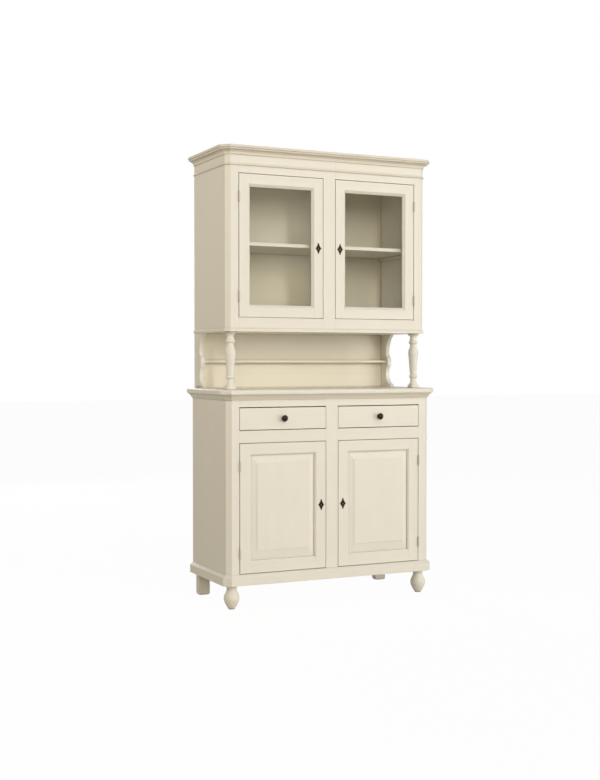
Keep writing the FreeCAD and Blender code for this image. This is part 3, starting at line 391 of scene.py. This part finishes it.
# ---------------------------------------------------------------- numbers of the finishes
# A noise is given by its scale, detail and roughness, and an edge by the values between which
# something starts to show and shows in full. A tone is a share of the body colour. Shares say
# how much of each texture goes into a tone, a sheen or a relief. Lengths are in metres.
PAINT_NOISES = {"furrows": (1.0, 3.0, 0.6), "laps": (0.22, 2.0, 0.5),
                "mottle": (9.0, 4.0, 0.6), "stipple": (420.0, 2.0, 0.5)}
PAINT_TONE_SHARES = {"furrows": 0.30, "laps": 0.45, "mottle": 0.55}
PAINT_SHEEN_SHARES = {"furrows": 0.10, "mottle": 0.12}
PAINT_RELIEF_SHARES = {"furrows": 0.8, "stipple": 0.35, "laps": 0.5}
PAINT_TONES = (0.955, 1.04)
SHADE_EDGE = (0.3, 0.85)
QUIRK_EDGE = (0.2, 0.65)
RUBBING_NOISE = (30.0, 4.0, 0.65)
RUBBING_EDGE = (0.02, 0.22)
RUBBING_SHARE = 0.35
RUBBING_TONE = 0.78

# How evenly the painted shade covers corners and quirks, and what makes up for a plain corner
# being half open.
CORNER_COVER = 0.75
QUIRK_COVER = 0.85
CORNER_GAIN = 2

TIMBER_STRETCHES = {"bend": (14.0, 2.2, 14.0), "knots": (16.0, 3.4, 16.0),
                    "pores": (1500.0, 22.0, 1500.0), "cloud": (5.0, 2.0, 5.0)}
TIMBER_NOISES = {"bend": (1.0, 3.0, 0.55), "pores": (1.0, 2.0, 0.5), "cloud": (1.0, 3.0, 0.5)}
TIMBER_TONE_SHARES = {"cloud": 0.5, "pores": 0.35}
TIMBER_PORE_SHEEN = 0.2
TIMBER_RELIEF = 0.00012
TIMBER_EDGE_ROUND = 0.0008

# How much the rings lean with height, and how far they bend and part round a knot.
RING_SLOPE = 0.6
RING_BEND = 0.034
RING_SWELL = 0.004
LATE_WOOD_EDGE = (-0.1, 1.0)
LATE_WOOD_SHARE = 0.75
LATE_WOOD_RELIEF = 0.6
KNOT_EDGE = (0.05, 0.16)
KNOT_SHARE = 0.8
KNOT_TONE = 0.4

BRONZE_NOISES = {"patina": (260.0, 4.0, 0.6), "pits": (1400.0, 2.0, 0.5)}
BRONZE_TONES = (0.7, 1.5)
BRONZE_PATINA_TONE = 1.6
BRONZE_PATINA_SHEEN = 0.35
BRONZE_PATINA_RELIEF = 0.6
BRONZE_RELIEF = 0.00006
BRONZE_EDGE_ROUND = 0.0006
BRONZE_ROUGHNESS = 0.40
BRONZE_METALLIC = 0.85
BRONZE_RUBBING_EDGE = (-0.12, 0.2)
BRONZE_RUBBING_SHARE = 0.4
BRONZE_RUBBING_SHEEN = 0.08

STEEL_STRETCH = (3500.0, 3500.0, 60.0)
STEEL_NOISES = {"scratches": (1.0, 2.0, 0.5), "tarnish": (120.0, 4.0, 0.6)}
STEEL_SHEEN_SHARES = {"scratches": 0.25, "tarnish": 0.2}
STEEL_RELIEF = 0.00004
STEEL_EDGE_ROUND = 0.0004
STEEL_ROUGHNESS = 0.36
STEEL_SCRATCH_TONE = 1.15
TARNISH_EDGE = (-0.05, 0.3)
TARNISH_SHARE = 0.6
TARNISH_TONE = 0.55

# The tones of the hinges' paint are painted shade: they darken it against the woodwork.
HINGE_NOISE = (190.0, 4.0, 0.65)
HINGE_SHADED_TONES = (0.5, 0.85)
HINGE_STEEL_TONE = 0.30
HINGE_RELIEF = 0.0001
HINGE_EDGE_ROUND = 0.0005
HINGE_ROUGHNESS = 0.42
HINGE_PATCH_SHEEN = 0.2
HINGE_METALLIC = 0.8
HINGE_WORN_EDGE = (-0.2, 0.1)
HINGE_BARE_EDGE = (0.16, 0.24)
HINGE_QUIRK_EDGE = (0.2, 0.6)

GLASS_WAVES = (6.0, 1.0, 0.4)
GLASS_WAVE_DEPTH = 0.0006
GLASS_ROUGHNESS = 0.03
GLASS_MIRROR = 0.003
GLASS_SLANT_MIRROR = 0.9
GLASS_SLANT_POWER = 5
SMEAR_STRETCH = (9.0, 9.0, 3.0)
SMEAR_NOISE = (1.0, 4.0, 0.6)
SMEAR_COVER = 0.6
DUST_COLOUR = (0.8, 0.78, 0.74, 1)

PAPER_GRAIN = (3.0, 3.0, 0.5)
PAPER_TONES = (0.98, 1.02)
PAPER_SEEN = (0.95, 0.95, 0.95)
PAPER_ROUGHNESS = 0.9
WHITE = (1, 1, 1, 1)


# ---------------------------------------------------------------- finishes
def new_finish(name):
    return Finish(bpy.data.materials.new(name))


def brushed_upright(finish, place, paint):
    width, length = 1 / paint.mark_width, 1 / paint.mark_length
    return finish.along(place, width, width, length)


def brushed_across(finish, place, paint):
    width, length = 1 / paint.mark_width, 1 / paint.mark_length
    return finish.along(place, length, width, width)


def brushed_round(finish, place, paint):
    width, length = 1 / paint.mark_width, 1 / paint.mark_length
    return finish.along(place, length, length, width)


def brushed_as_framed(node, member):
    """Marks that run up the stiles and across the rails of a door."""
    low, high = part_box(node)
    near, far = sorted((abs(low.x), abs(high.x)))

    def brushed(finish, place, paint):
        x, _, z = finish.axes(place)
        across = abs(x)
        from_edge = (across - near).least(far - across) - member
        from_end = (z - low.z).least(high.z - z) - member
        rail = (from_edge > 0) * (from_edge > from_end)
        return finish.mix("VECTOR", rail, brushed_upright(finish, place, paint),
                          brushed_across(finish, place, paint))

    return brushed


def cream_paint(name, paint, brushed, body, glazed=1.0, shade_painted_in=False):
    """Satin paint laid on with a brush: furrows along the board, a slight mottle, painted shade
    in the corners, quirks and gaps, and a warmer painted shade deep in the hutch when asked for."""
    finish = new_finish(name)
    place = finish.place()
    marks = brushed(finish, place, paint)
    places = {"furrows": marks, "laps": marks, "mottle": place, "stipple": place}
    textures = {texture: finish.noise(places[texture], *noise)
                for texture, noise in PAINT_NOISES.items()}
    mottle = textures["mottle"]
    # Painted shade: where corners lie, mottled.
    corners = finish.crevices(paint.corner_shade_reach) * (CORNER_COVER + mottle)
    # Painted shade, deeper, in quirks and gaps.
    quirks = finish.band(finish.crevices(paint.quirk_reach), *QUIRK_EDGE)
    quirks = quirks * (QUIRK_COVER + mottle)
    eased = finish.eased(paint.edge_round)
    rubbed = finish.band(finish.noise(place, *RUBBING_NOISE), *RUBBING_EDGE)
    rubbed = finish.edges(eased) * rubbed

    darker, paler = (body * tone for tone in PAINT_TONES)
    colour = finish.tint(blend(0.5, PAINT_TONE_SHARES, textures), darker, paler)
    # Painted shade: deep in the hutch the colour is made warmer and darker where other boards
    # stand near.
    if shade_painted_in:
        shade = finish.band(finish.crevices(paint.deep_shade_reach), *SHADE_EDGE)
        colour = finish.tint(shade, colour, paint.shade_painted_in, "MULTIPLY")
    # Painted shade in the corners, in a warm brown.
    colour = finish.tint(corners * (CORNER_GAIN * paint.corner_shade_strength), colour, paint.glaze)
    # Painted shade in quirks and gaps, in a dark brown; glazed scales how strong it is.
    colour = finish.tint(quirks * (paint.quirk_strength * glazed), colour, paint.quirk)
    colour = finish.tint(rubbed * RUBBING_SHARE, colour, body * RUBBING_TONE)
    roughness = blend(paint.roughness, PAINT_SHEEN_SHARES, textures)
    height = blend(0, PAINT_RELIEF_SHARES, textures)
    normal = finish.bump(height, paint.mark_depth, eased)
    return finish.surface(Base_Color=colour, Roughness=roughness, Normal=normal)


def bare_timber(name, timber):
    """Planed softwood with rings, fine grain and a knot here and there."""
    finish = new_finish(name)
    place = finish.place()
    x, _, z = finish.axes(place)
    stretched = {texture: finish.along(place, *stretch)
                 for texture, stretch in TIMBER_STRETCHES.items()}
    textures = {texture: finish.noise(stretched[texture], *noise)
                for texture, noise in TIMBER_NOISES.items()}
    pores = textures["pores"]
    knots = finish.node("ShaderNodeTexVoronoi", None,
                        {"Vector": stretched["knots"], "Scale": 1.0})
    knot = 1 - finish.band(knots, *KNOT_EDGE)
    depth = x + z * RING_SLOPE + textures["bend"] * RING_BEND + knot * RING_SWELL
    rings = (depth * (2 * pi / timber.ring_spacing)).sine()
    late = finish.band(rings, *LATE_WOOD_EDGE) * LATE_WOOD_SHARE
    tone = blend(late, TIMBER_TONE_SHARES, textures)
    colour = finish.tint(tone, timber.early_wood, timber.late_wood)
    colour = finish.tint(knot * KNOT_SHARE, colour, Vector(timber.late_wood) * KNOT_TONE)
    normal = finish.bump(pores - late * LATE_WOOD_RELIEF, TIMBER_RELIEF,
                         finish.eased(TIMBER_EDGE_ROUND))
    return finish.surface(Base_Color=colour, Normal=normal,
                          Roughness=timber.roughness + pores * TIMBER_PORE_SHEEN)


def dark_bronze(name, metal):
    """Bronze with a dark patina, rubbed bright in patches on its edges."""
    finish = new_finish(name)
    place = finish.place()
    eased = finish.eased(BRONZE_EDGE_ROUND)
    patina = finish.noise(place, *BRONZE_NOISES["patina"])
    pits = finish.noise(place, *BRONZE_NOISES["pits"])
    rubbed = finish.edges(eased) * finish.band(patina, *BRONZE_RUBBING_EDGE)
    darker, paler = (Vector(metal.bronze) * tone for tone in BRONZE_TONES)
    colour = finish.tint(0.5 + patina * BRONZE_PATINA_TONE, darker, paler)
    colour = finish.tint(rubbed * BRONZE_RUBBING_SHARE, colour, metal.rubbed_bronze)
    roughness = (BRONZE_ROUGHNESS + patina * BRONZE_PATINA_SHEEN
                 - rubbed * BRONZE_RUBBING_SHEEN)
    normal = finish.bump(pits + patina * BRONZE_PATINA_RELIEF, BRONZE_RELIEF, eased)
    return finish.surface(Base_Color=colour, Metallic=BRONZE_METALLIC, Roughness=roughness,
                          Normal=normal)


def plain_steel(name, metal):
    """Drawn steel with fine scratches up and down and a little tarnish."""
    finish = new_finish(name)
    place = finish.place()
    places = {"scratches": finish.along(place, *STEEL_STRETCH), "tarnish": place}
    textures = {texture: finish.noise(places[texture], *noise)
                for texture, noise in STEEL_NOISES.items()}
    scratches = textures["scratches"]
    body = Vector(metal.steel)
    tarnished = finish.band(textures["tarnish"], *TARNISH_EDGE) * TARNISH_SHARE
    colour = finish.tint(tarnished, body, body * TARNISH_TONE)
    colour = finish.tint(0.5 + scratches, colour, body * STEEL_SCRATCH_TONE)
    roughness = blend(STEEL_ROUGHNESS, STEEL_SHEEN_SHARES, textures)
    normal = finish.bump(scratches, STEEL_RELIEF, finish.eased(STEEL_EDGE_ROUND))
    return finish.surface(Base_Color=colour, Metallic=1.0, Roughness=roughness, Normal=normal)


def painted_hinge(name, paint, metal):
    """Steel hinges painted over with the woodwork, their paint darkened as painted shade and
    darker still in their crevices, with metal showing where they turn.
    """
    finish = new_finish(name)
    place = finish.place()
    eased = finish.eased(HINGE_EDGE_ROUND)
    patches = finish.noise(place, *HINGE_NOISE)
    worn = finish.edges(eased) * finish.band(patches, *HINGE_WORN_EDGE) * metal.hinge_wear
    bare = finish.band(patches, *HINGE_BARE_EDGE) * metal.hinge_wear
    metal_shows = worn + bare
    # Painted shade: the hinges' paint is darker than the woodwork's.
    darker, paler = (Vector(paint.colour) * tone for tone in HINGE_SHADED_TONES)
    colour = finish.tint(0.5 + patches, darker, paler)
    # Painted shade in the hinges' crevices.
    quirks = finish.band(finish.crevices(paint.quirk_reach), *HINGE_QUIRK_EDGE)
    colour = finish.tint(quirks, colour, paint.quirk)
    colour = finish.tint(metal_shows, colour, Vector(metal.steel) * HINGE_STEEL_TONE)
    return finish.surface(Base_Color=colour, Metallic=metal_shows * HINGE_METALLIC,
                          Roughness=HINGE_ROUGHNESS + patches * HINGE_PATCH_SHEEN,
                          Normal=finish.bump(patches, HINGE_RELIEF, eased))


def clear_glass(name, glazing):
    """Thin window glass: a clear view through, a mirror at a slant and a trace of dust."""
    finish = new_finish(name)
    place = finish.place()
    waves = finish.noise(place, *GLASS_WAVES)
    smears = finish.noise(finish.along(place, *SMEAR_STRETCH), *SMEAR_NOISE)
    normal = finish.bump(waves, GLASS_WAVE_DEPTH)
    through = finish.node("ShaderNodeBsdfTransparent", None, {"Color": (*glazing.tint, 1)})
    mirror = finish.node("ShaderNodeBsdfGlossy", None,
                         {"Roughness": GLASS_ROUGHNESS, "Normal": normal})
    slant = finish.node("ShaderNodeLayerWeight", None, {"Blend": 0.5, "Normal": normal},
                        "Facing")
    mirrored = GLASS_MIRROR + GLASS_SLANT_MIRROR * slant ** GLASS_SLANT_POWER
    pane = finish.node("ShaderNodeMixShader", None, {0: mirrored, 1: through, 2: mirror})
    dust = finish.node("ShaderNodeBsdfDiffuse", None, {"Color": DUST_COLOUR})
    clouded = (SMEAR_COVER + smears) * glazing.dust
    return finish.show(finish.node("ShaderNodeMixShader", None, {0: clouded, 1: pane, 2: dust}))


def studio_white(name, shade, colour):
    """Pale paper that is white to the camera and in reflections, and keeps a share of the
    shadow that falls on it."""
    finish = new_finish(name)
    seen = finish.seen()
    grain = finish.noise(finish.place(), *PAPER_GRAIN)
    darker, paler = (Vector(colour) * tone for tone in PAPER_TONES)
    sheet = finish.tint(0.5 + grain, darker, paler)
    paper = finish.node("ShaderNodeBsdfPrincipled", None, {
        "Base Color": finish.tint(seen, sheet, PAPER_SEEN), "Roughness": PAPER_ROUGHNESS})
    white = finish.node("ShaderNodeEmission", None, {"Color": WHITE, "Strength": 1.0})
    return finish.show(finish.node("ShaderNodeMixShader", None,
                                   {0: seen * (1 - shade), 1: paper, 2: white}))


def dress(node, material):
    """Gives a carried-over solid its finish."""
    for material_slot in NODES[node].material_slots:
        material_slot.material = material


# ---------------------------------------------------------------- small pieces
# A screw head's slot: half its width as a share of the radius, and its floor as a share of the
# head's rise.
HALF_SLOT = 0.16
SLOT_FLOOR = 0.3

# The crown of a pin and of a nail, as a share of its radius.
PIN_CROWN = 0.5
NAIL_CROWN = 0.3

# A hinge's screws: how far up its leaf, how far behind the door's face, how far its leaves'
# faces stand from the pin's axis, and the turn of the first slot and of each next one.
HINGE_SCREW_STEPS = (0.0075, 0.0325)
HINGE_SCREW_DEPTH = 0.0105
LEAF_FACE = 0.0003
FIRST_TURN = 0.6
NEXT_TURN = 0.9

# A lock's screws: how far from the end of its faceplate, and the turn of each slot.
LOCK_SCREW_INSET = 0.005
LOCK_SCREW_TURNS = (0.4, 1.9)

# From an escutcheon's middle to a pin, as a share of its height.
PIN_REACH = 0.33

# From the edge of a back board to its nails.
NAIL_MARGIN = 0.006


def ring(radius, sides):
    """Points round a circle."""
    return [(radius * cos(2 * pi * i / sides), radius * sin(2 * pi * i / sides))
            for i in range(sides)]


def points_at(mesh, place, outline, height):
    return [mesh.verts.new(place @ Vector((x, y, height))) for x, y in outline]


def walls(mesh, lower, upper):
    """Faces between two rings of as many points each."""
    return [mesh.faces.new((lower[i - 1], lower[i], upper[i], upper[i - 1]))
            for i in range(len(lower))]


def domed_head(mesh, place, radius, rise, sides):
    """A round head with a crowned top, standing on the plane z = 0 of its place."""
    rings = [points_at(mesh, place, ring(radius * cos(angle), sides), rise * sin(angle))
             for angle in (0, pi / 8, pi / 4, 3 * pi / 8)]
    mesh.faces.new(reversed(rings[0]))
    crown = mesh.verts.new(place @ Vector((0, 0, rise)))
    rounded = [mesh.faces.new((rings[-1][i - 1], rings[-1][i], crown)) for i in range(sides)]
    for lower, upper in zip(rings, rings[1:]):
        rounded += walls(mesh, lower, upper)
    for face in rounded:
        face.smooth = True


def prism(mesh, place, outline, low, high):
    """An outline raised from one height to another."""
    bottom = points_at(mesh, place, outline, low)
    top = points_at(mesh, place, outline, high)
    mesh.faces.new(reversed(bottom))
    mesh.faces.new(top)
    walls(mesh, bottom, top)


def slotted_head(mesh, place, radius, rise, sides):
    """A flat screw head with a sawn slot across it."""
    prism(mesh, place, ring(radius, sides), 0, rise * SLOT_FLOOR)
    first = pi / 2 - HALF_SLOT
    steps = sides // 2
    for turn in (0, pi):
        arc = [turn - first + 2 * first * i / steps for i in range(steps + 1)]
        outline = [(radius * cos(angle), radius * sin(angle)) for angle in arc]
        prism(mesh, place, outline, rise * SLOT_FLOOR, rise)


def facing(point, outward, turn=0.0):
    """A place at a point, with its Z along an outward direction."""
    tilt = Vector(outward).to_track_quat("Z", "Y").to_matrix().to_4x4()
    return Matrix.Translation(point) @ tilt @ Matrix.Rotation(turn, 4, "Z")


def built(name, build, material):
    """A mesh made by a function that fills a bmesh."""
    mesh = bmesh.new()
    build(mesh)
    data = bpy.data.meshes.new(name)
    mesh.to_mesh(data)
    mesh.free()
    data.materials.append(material)
    piece = bpy.data.objects.new(name, data)
    bpy.context.scene.collection.objects.link(piece)
    return piece


def small_piece(name, body, material, build):
    """A built mesh that rides on a body."""
    piece = built(name, build, material)
    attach(piece, body)


def named_material(name):
    material = bpy.data.materials.get(name)
    if material is None:
        raise RuntimeError(f"the finish {name!r} is mixed by an earlier step; run that first")
    return material


# ---------------------------------------------------------------- operators
class DRESSER_OT_paint_woodwork(bpy.types.Operator):
    """Paint the boards, mouldings and turnings, and take off the arrises of the square boards"""
    bl_idname = "dresser.paint_woodwork"
    bl_label = "Paint the woodwork"

    def execute(self, context):
        paint = context.scene.dresser_paint
        colour, thin = Vector(paint.colour), paint.thin_quirk_shade
        # The third column scales the painted shade in quirks and gaps; the fourth adds a warmer
        # painted shade deep in the hutch.
        for run, brushed, glazed, shade_painted_in, nodes in (
                ("upright", brushed_upright, thin, False, BRUSHED_UPRIGHT),
                ("across", brushed_across, 1.0, False, BRUSHED_ACROSS),
                ("round", brushed_round, 1.0, False, BRUSHED_ROUND),
                ("upright in the shade", brushed_upright, thin, True, SHADED_UPRIGHT),
                ("across in the shade", brushed_across, thin, True, SHADED_ACROSS)):
            material = cream_paint(f"cream paint brushed {run}", paint, brushed, colour,
                                   glazed, shade_painted_in)
            for node in nodes:
                dress(node, material)
        # Mouldings in a darker colour and with a stronger quirk colour, as painted shade.
        material = cream_paint("cream paint on the mouldings", paint, brushed_round,
                               Vector(paint.shaded_moulding_colour), paint.moulding_quirk_shade)
        for node in MOULDINGS:
            dress(node, material)
        for tier, glazed in (("upper", thin), ("lower", 1.0)):
            brushed = brushed_as_framed(f"{tier}_left_door_frame", DOOR_MEMBERS[tier])
            material = cream_paint(f"cream paint on the {tier} doors", paint, brushed, colour,
                                   glazed)
            for side in SIDES:
                dress(f"{tier}_{side}_door_frame", material)
        for node in SQUARE_BOARDS:
            self.take_off_arrises(NODES[node], paint.arris)
        return {"FINISHED"}

    def take_off_arrises(self, board, width):
        weld = board.modifiers.new("Joined faces", "WELD")
        weld.merge_threshold = WELD_DISTANCE
        bevel = board.modifiers.new("Arris", "BEVEL")
        bevel.width = width
        bevel.segments = ARRIS_FACETS
        bevel.limit_method = "ANGLE"
        bevel.angle_limit = ARRIS_ANGLE


class DRESSER_OT_leave_timber(bpy.types.Operator):
    """Leave the drawer boxes, runners and corner blocks in planed softwood"""
    bl_idname = "dresser.leave_timber"
    bl_label = "Leave the timber bare"

    def execute(self, context):
        material = bare_timber("planed softwood", context.scene.dresser_timber)
        for node in BARE_TIMBER:
            dress(node, material)
        return {"FINISHED"}


class DRESSER_OT_fit_ironmongery(bpy.types.Operator):
    """Finish the knobs, escutcheons, locks, bolts and hinges"""
    bl_idname = "dresser.fit_ironmongery"
    bl_label = "Finish the ironmongery"

    def execute(self, context):
        metal = context.scene.dresser_metal
        bronze = dark_bronze("dark bronze", metal)
        steel = plain_steel("drawn steel", metal)
        hinge = painted_hinge("painted hinge", context.scene.dresser_paint, metal)
        for door in DOORS:
            dress(f"{door}_escutcheon", bronze)
            dress(f"{door}_lock", steel)
            dress(f"{door}_bolt", steel)
            dress(f"{door}_hinges", hinge)
        for drawer in DRAWERS:
            dress(f"{drawer}_knob", bronze)
        dress("frame_hinges", hinge)
        return {"FINISHED"}


class DRESSER_OT_glaze_doors(bpy.types.Operator):
    """Glaze the upper doors"""
    bl_idname = "dresser.glaze_doors"
    bl_label = "Glaze the doors"

    def execute(self, context):
        glass = clear_glass("window glass", context.scene.dresser_glazing)
        for side in SIDES:
            dress(f"upper_{side}_door_glass", glass)
        return {"FINISHED"}


class DRESSER_OT_screw_hinges(bpy.types.Operator):
    """Screw the hinge leaves to the doors and to the posts"""
    bl_idname = "dresser.screw_hinges"
    bl_label = "Screw the hinges"

    def execute(self, context):
        sizes = context.scene.dresser_fastenings
        material = named_material("painted hinge")
        for door in DOORS:
            joint = next(j for j in frame["joints"] if j["name"] == f"{door}_hinge")
            low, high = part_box(f"{door}_hinges")
            outward = -1 if "left" in door else 1
            axis_x = joint["pos_m"][0]
            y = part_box(f"{door}_frame")[0].y + HINGE_SCREW_DEPTH
            levels = [low.z + step for step in HINGE_SCREW_STEPS]
            levels += [high.z - step for step in HINGE_SCREW_STEPS]
            for name, body, side in ((f"{door}_hinge_screws", door, outward),
                                     (f"{door}_post_hinge_screws", "carcass", -outward)):

                def build(mesh):
                    x = axis_x - side * LEAF_FACE
                    for count, z in enumerate(levels):
                        place = facing((x, y, z), (side, 0, 0), FIRST_TURN + NEXT_TURN * count)
                        slotted_head(mesh, place, sizes.hinge_screw, sizes.screw_rise,
                                     sizes.sides)

                small_piece(name, body, material, build)
        return {"FINISHED"}


class DRESSER_OT_pin_escutcheons(bpy.types.Operator):
    """Pin the escutcheons at their upper and lower tips"""
    bl_idname = "dresser.pin_escutcheons"
    bl_label = "Pin the escutcheons"

    def execute(self, context):
        sizes = context.scene.dresser_fastenings
        material = named_material("dark bronze")
        for door in DOORS:
            low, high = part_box(f"{door}_escutcheon")
            middle = (low + high) / 2
            reach = (high.z - low.z) * PIN_REACH

            def build(mesh):
                for z in (middle.z - reach, middle.z + reach):
                    place = facing((middle.x, low.y, z), (0, -1, 0))
                    domed_head(mesh, place, sizes.pin, sizes.pin * PIN_CROWN, sizes.sides)

            small_piece(f"{door}_escutcheon_pins", door, material, build)
        return {"FINISHED"}


class DRESSER_OT_screw_locks(bpy.types.Operator):
    """Screw the locks' faceplates to the edges of the doors"""
    bl_idname = "dresser.screw_locks"
    bl_label = "Screw the locks"

    def execute(self, context):
        sizes = context.scene.dresser_fastenings
        material = named_material("drawn steel")
        for door in DOORS:
            low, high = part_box(f"{door}_lock")
            inward = 1 if "left" in door else -1
            edge = high.x if inward > 0 else low.x
            middle = (low + high) / 2
            reach = (high.z - low.z) / 2 - LOCK_SCREW_INSET

            def build(mesh):
                for turn, z in zip(LOCK_SCREW_TURNS, (middle.z - reach, middle.z + reach)):
                    place = facing((edge, middle.y, z), (inward, 0, 0), turn)
                    slotted_head(mesh, place, sizes.lock_screw, sizes.screw_rise, sizes.sides)

            small_piece(f"{door}_lock_screws", door, material, build)
        return {"FINISHED"}


class DRESSER_OT_nail_backs(bpy.types.Operator):
    """Nail the back boards into their rebates"""
    bl_idname = "dresser.nail_backs"
    bl_label = "Nail the backs"

    def execute(self, context):
        sizes = context.scene.dresser_fastenings
        material = named_material("drawn steel")
        for node in BACKS:
            low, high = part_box(node)
            columns = self.spread(low.x, high.x, sizes.nail_spacing)
            rows = self.spread(low.z, high.z, sizes.nail_spacing)
            spots = [(x, z) for z in rows for x in (columns[0], columns[-1])]
            spots += [(x, z) for x in columns[1:-1] for z in (rows[0], rows[-1])]

            def build(mesh):
                for x, z in spots:
                    place = facing((x, high.y, z), (0, 1, 0))
                    domed_head(mesh, place, sizes.nail, sizes.nail * NAIL_CROWN, sizes.sides)

            small_piece(f"{node}_nails", "carcass", material, build)
        return {"FINISHED"}

    def spread(self, low, high, spacing):
        """Where nails stand from one edge of a board to the other, about a spacing apart."""
        gaps = max(1, round((high - low) / spacing))
        first, length = low + NAIL_MARGIN, high - low - 2 * NAIL_MARGIN
        return [first + length * i / gaps for i in range(gaps + 1)]


# ---------------------------------------------------------------- studio
# Softboxes: name, degrees to the right of the front, degrees up, distance, width and height,
# power and colour.
SOFTBOXES = [
    ("key_strip", -8.7, 19, 10, 0.8, 4.7, "key_power", "plain"),
    ("right_softbox", 45, 12, 10, 7, 3, "right_power", "warm"),
    ("low_softbox", 50, 1, 8, 6, 1.6, "low_power", "plain"),
    ("front_softbox", 10, 12, 10, 3, 3, "front_power", "plain"),
    ("left_softbox", -25, 12, 10, 3, 3, "left_power", "warm"),
    ("high_softbox", 10, 52, 10, 3, 3, "high_power", "plain"),
    ("side_softbox", -90, 25, 3.5, 1.5, 1.5, "side_power", "warm"),
    ("back_softbox", 180, 18, 6, 1.2, 3, "back_power", "plain"),
]
SOFTBOX_AIM = Vector((0, 0, 1.1))

FLOOR_REACH = 30
FLOOR_DEPTH = 0.02

CAMERA_PLACE = (-2.6541, -5.4405, 1.1486)
CAMERA_TILT = radians(88.69)
CAMERA_TURN = radians(-25.41)
CAMERA_SENSOR = 36
CAMERA_CLIP_END = 200


class DRESSER_OT_set_stage(bpy.types.Operator):
    """Set up the floor, the lights, the world and the camera"""
    bl_idname = "dresser.set_stage"
    bl_label = "Set the stage"

    def execute(self, context):
        scene = context.scene
        studio = scene.dresser_studio
        scene.view_settings.view_transform = "Standard"
        self.lay_floor(studio)
        self.light_world(scene)
        for softbox in SOFTBOXES:
            self.hang_softbox(scene, studio, *softbox)
        self.place_camera(scene, studio)
        return {"FINISHED"}

    def lay_floor(self, studio):
        reach = FLOOR_REACH
        corners = [(-reach, -reach), (reach, -reach), (reach, reach), (-reach, reach)]

        def build(mesh):
            prism(mesh, Matrix(), corners, -FLOOR_DEPTH, 0)

        white = studio_white("studio floor", studio.floor_shade, studio.floor_colour)
        floor = built("studio_floor", build, white)

    def light_world(self, scene):
        """White all round to the camera and in reflections, and dark to everything else."""
        finish = Finish(bpy.data.worlds.new("studio"), "ShaderNodeOutputWorld")
        scene.world = finish.show(finish.node("ShaderNodeBackground", None,
                                              {"Color": WHITE, "Strength": finish.seen()}))

    def hang_softbox(self, scene, studio, name, bearing, elevation, distance, width, height,
                     power, colour):
        light = bpy.data.lights.new(name, "AREA")
        light.shape = "RECTANGLE"
        light.size = width
        light.size_y = height
        light.energy = getattr(studio, power)
        light.color = getattr(studio, colour)
        lamp = bpy.data.objects.new(name, light)
        scene.collection.objects.link(lamp)
        across, up = radians(bearing), radians(elevation)
        towards = Vector((sin(across) * cos(up), -cos(across) * cos(up), sin(up)))
        lamp.location = SOFTBOX_AIM + distance * towards
        lamp.rotation_euler = (-towards).to_track_quat("-Z", "Y").to_euler()

    def place_camera(self, scene, studio):
        data = bpy.data.cameras.new("camera")
        data.sensor_fit = "VERTICAL"
        data.sensor_height = CAMERA_SENSOR
        data.lens = studio.lens
        data.clip_end = CAMERA_CLIP_END
        camera = bpy.data.objects.new("camera", data)
        scene.collection.objects.link(camera)
        camera.location = CAMERA_PLACE
        camera.rotation_euler = Euler((CAMERA_TILT, 0, CAMERA_TURN))
        scene.camera = camera


# ---------------------------------------------------------------- add-on
STEPS = [DRESSER_OT_paint_woodwork, DRESSER_OT_leave_timber, DRESSER_OT_fit_ironmongery,
         DRESSER_OT_glaze_doors, DRESSER_OT_screw_hinges, DRESSER_OT_pin_escutcheons,
         DRESSER_OT_screw_locks, DRESSER_OT_nail_backs, DRESSER_OT_set_stage]


class DRESSER_PT_steps(bpy.types.Panel):
    """The steps that finish the dresser, in order, with the sizes and colours they use"""
    bl_idname = "DRESSER_PT_steps"
    bl_label = "Dresser"
    bl_space_type = "VIEW_3D"
    bl_region_type = "UI"
    bl_category = "Dresser"

    def draw(self, context):
        for step in STEPS:
            self.layout.operator(step.bl_idname)
        for name, group in GROUPS.items():
            box = self.layout.box()
            box.label(text=group.__name__.replace("Dresser", ""))
            for key in group.__annotations__:
                box.prop(getattr(context.scene, name), key)


def register():
    for name, group in GROUPS.items():
        bpy.utils.register_class(group)
        setattr(bpy.types.Scene, name, PointerProperty(type=group))
    for step in STEPS:
        bpy.utils.register_class(step)
    bpy.utils.register_class(DRESSER_PT_steps)


def unregister():
    bpy.utils.unregister_class(DRESSER_PT_steps)
    for step in reversed(STEPS):
        bpy.utils.unregister_class(step)
    for name, group in reversed(GROUPS.items()):
        delattr(bpy.types.Scene, name)
        bpy.utils.unregister_class(group)


def clear_startup():
    """Takes away what a new file starts with."""
    for name in ("Cube", "Light", "Camera"):
        if name in bpy.data.objects:
            bpy.data.objects.remove(bpy.data.objects[name])


def main():
    clear_startup()
    register()
    for step in STEPS:
        group, name = step.bl_idname.split(".")
        getattr(getattr(bpy.ops, group), name)()


if __name__ == "__main__":
    main()
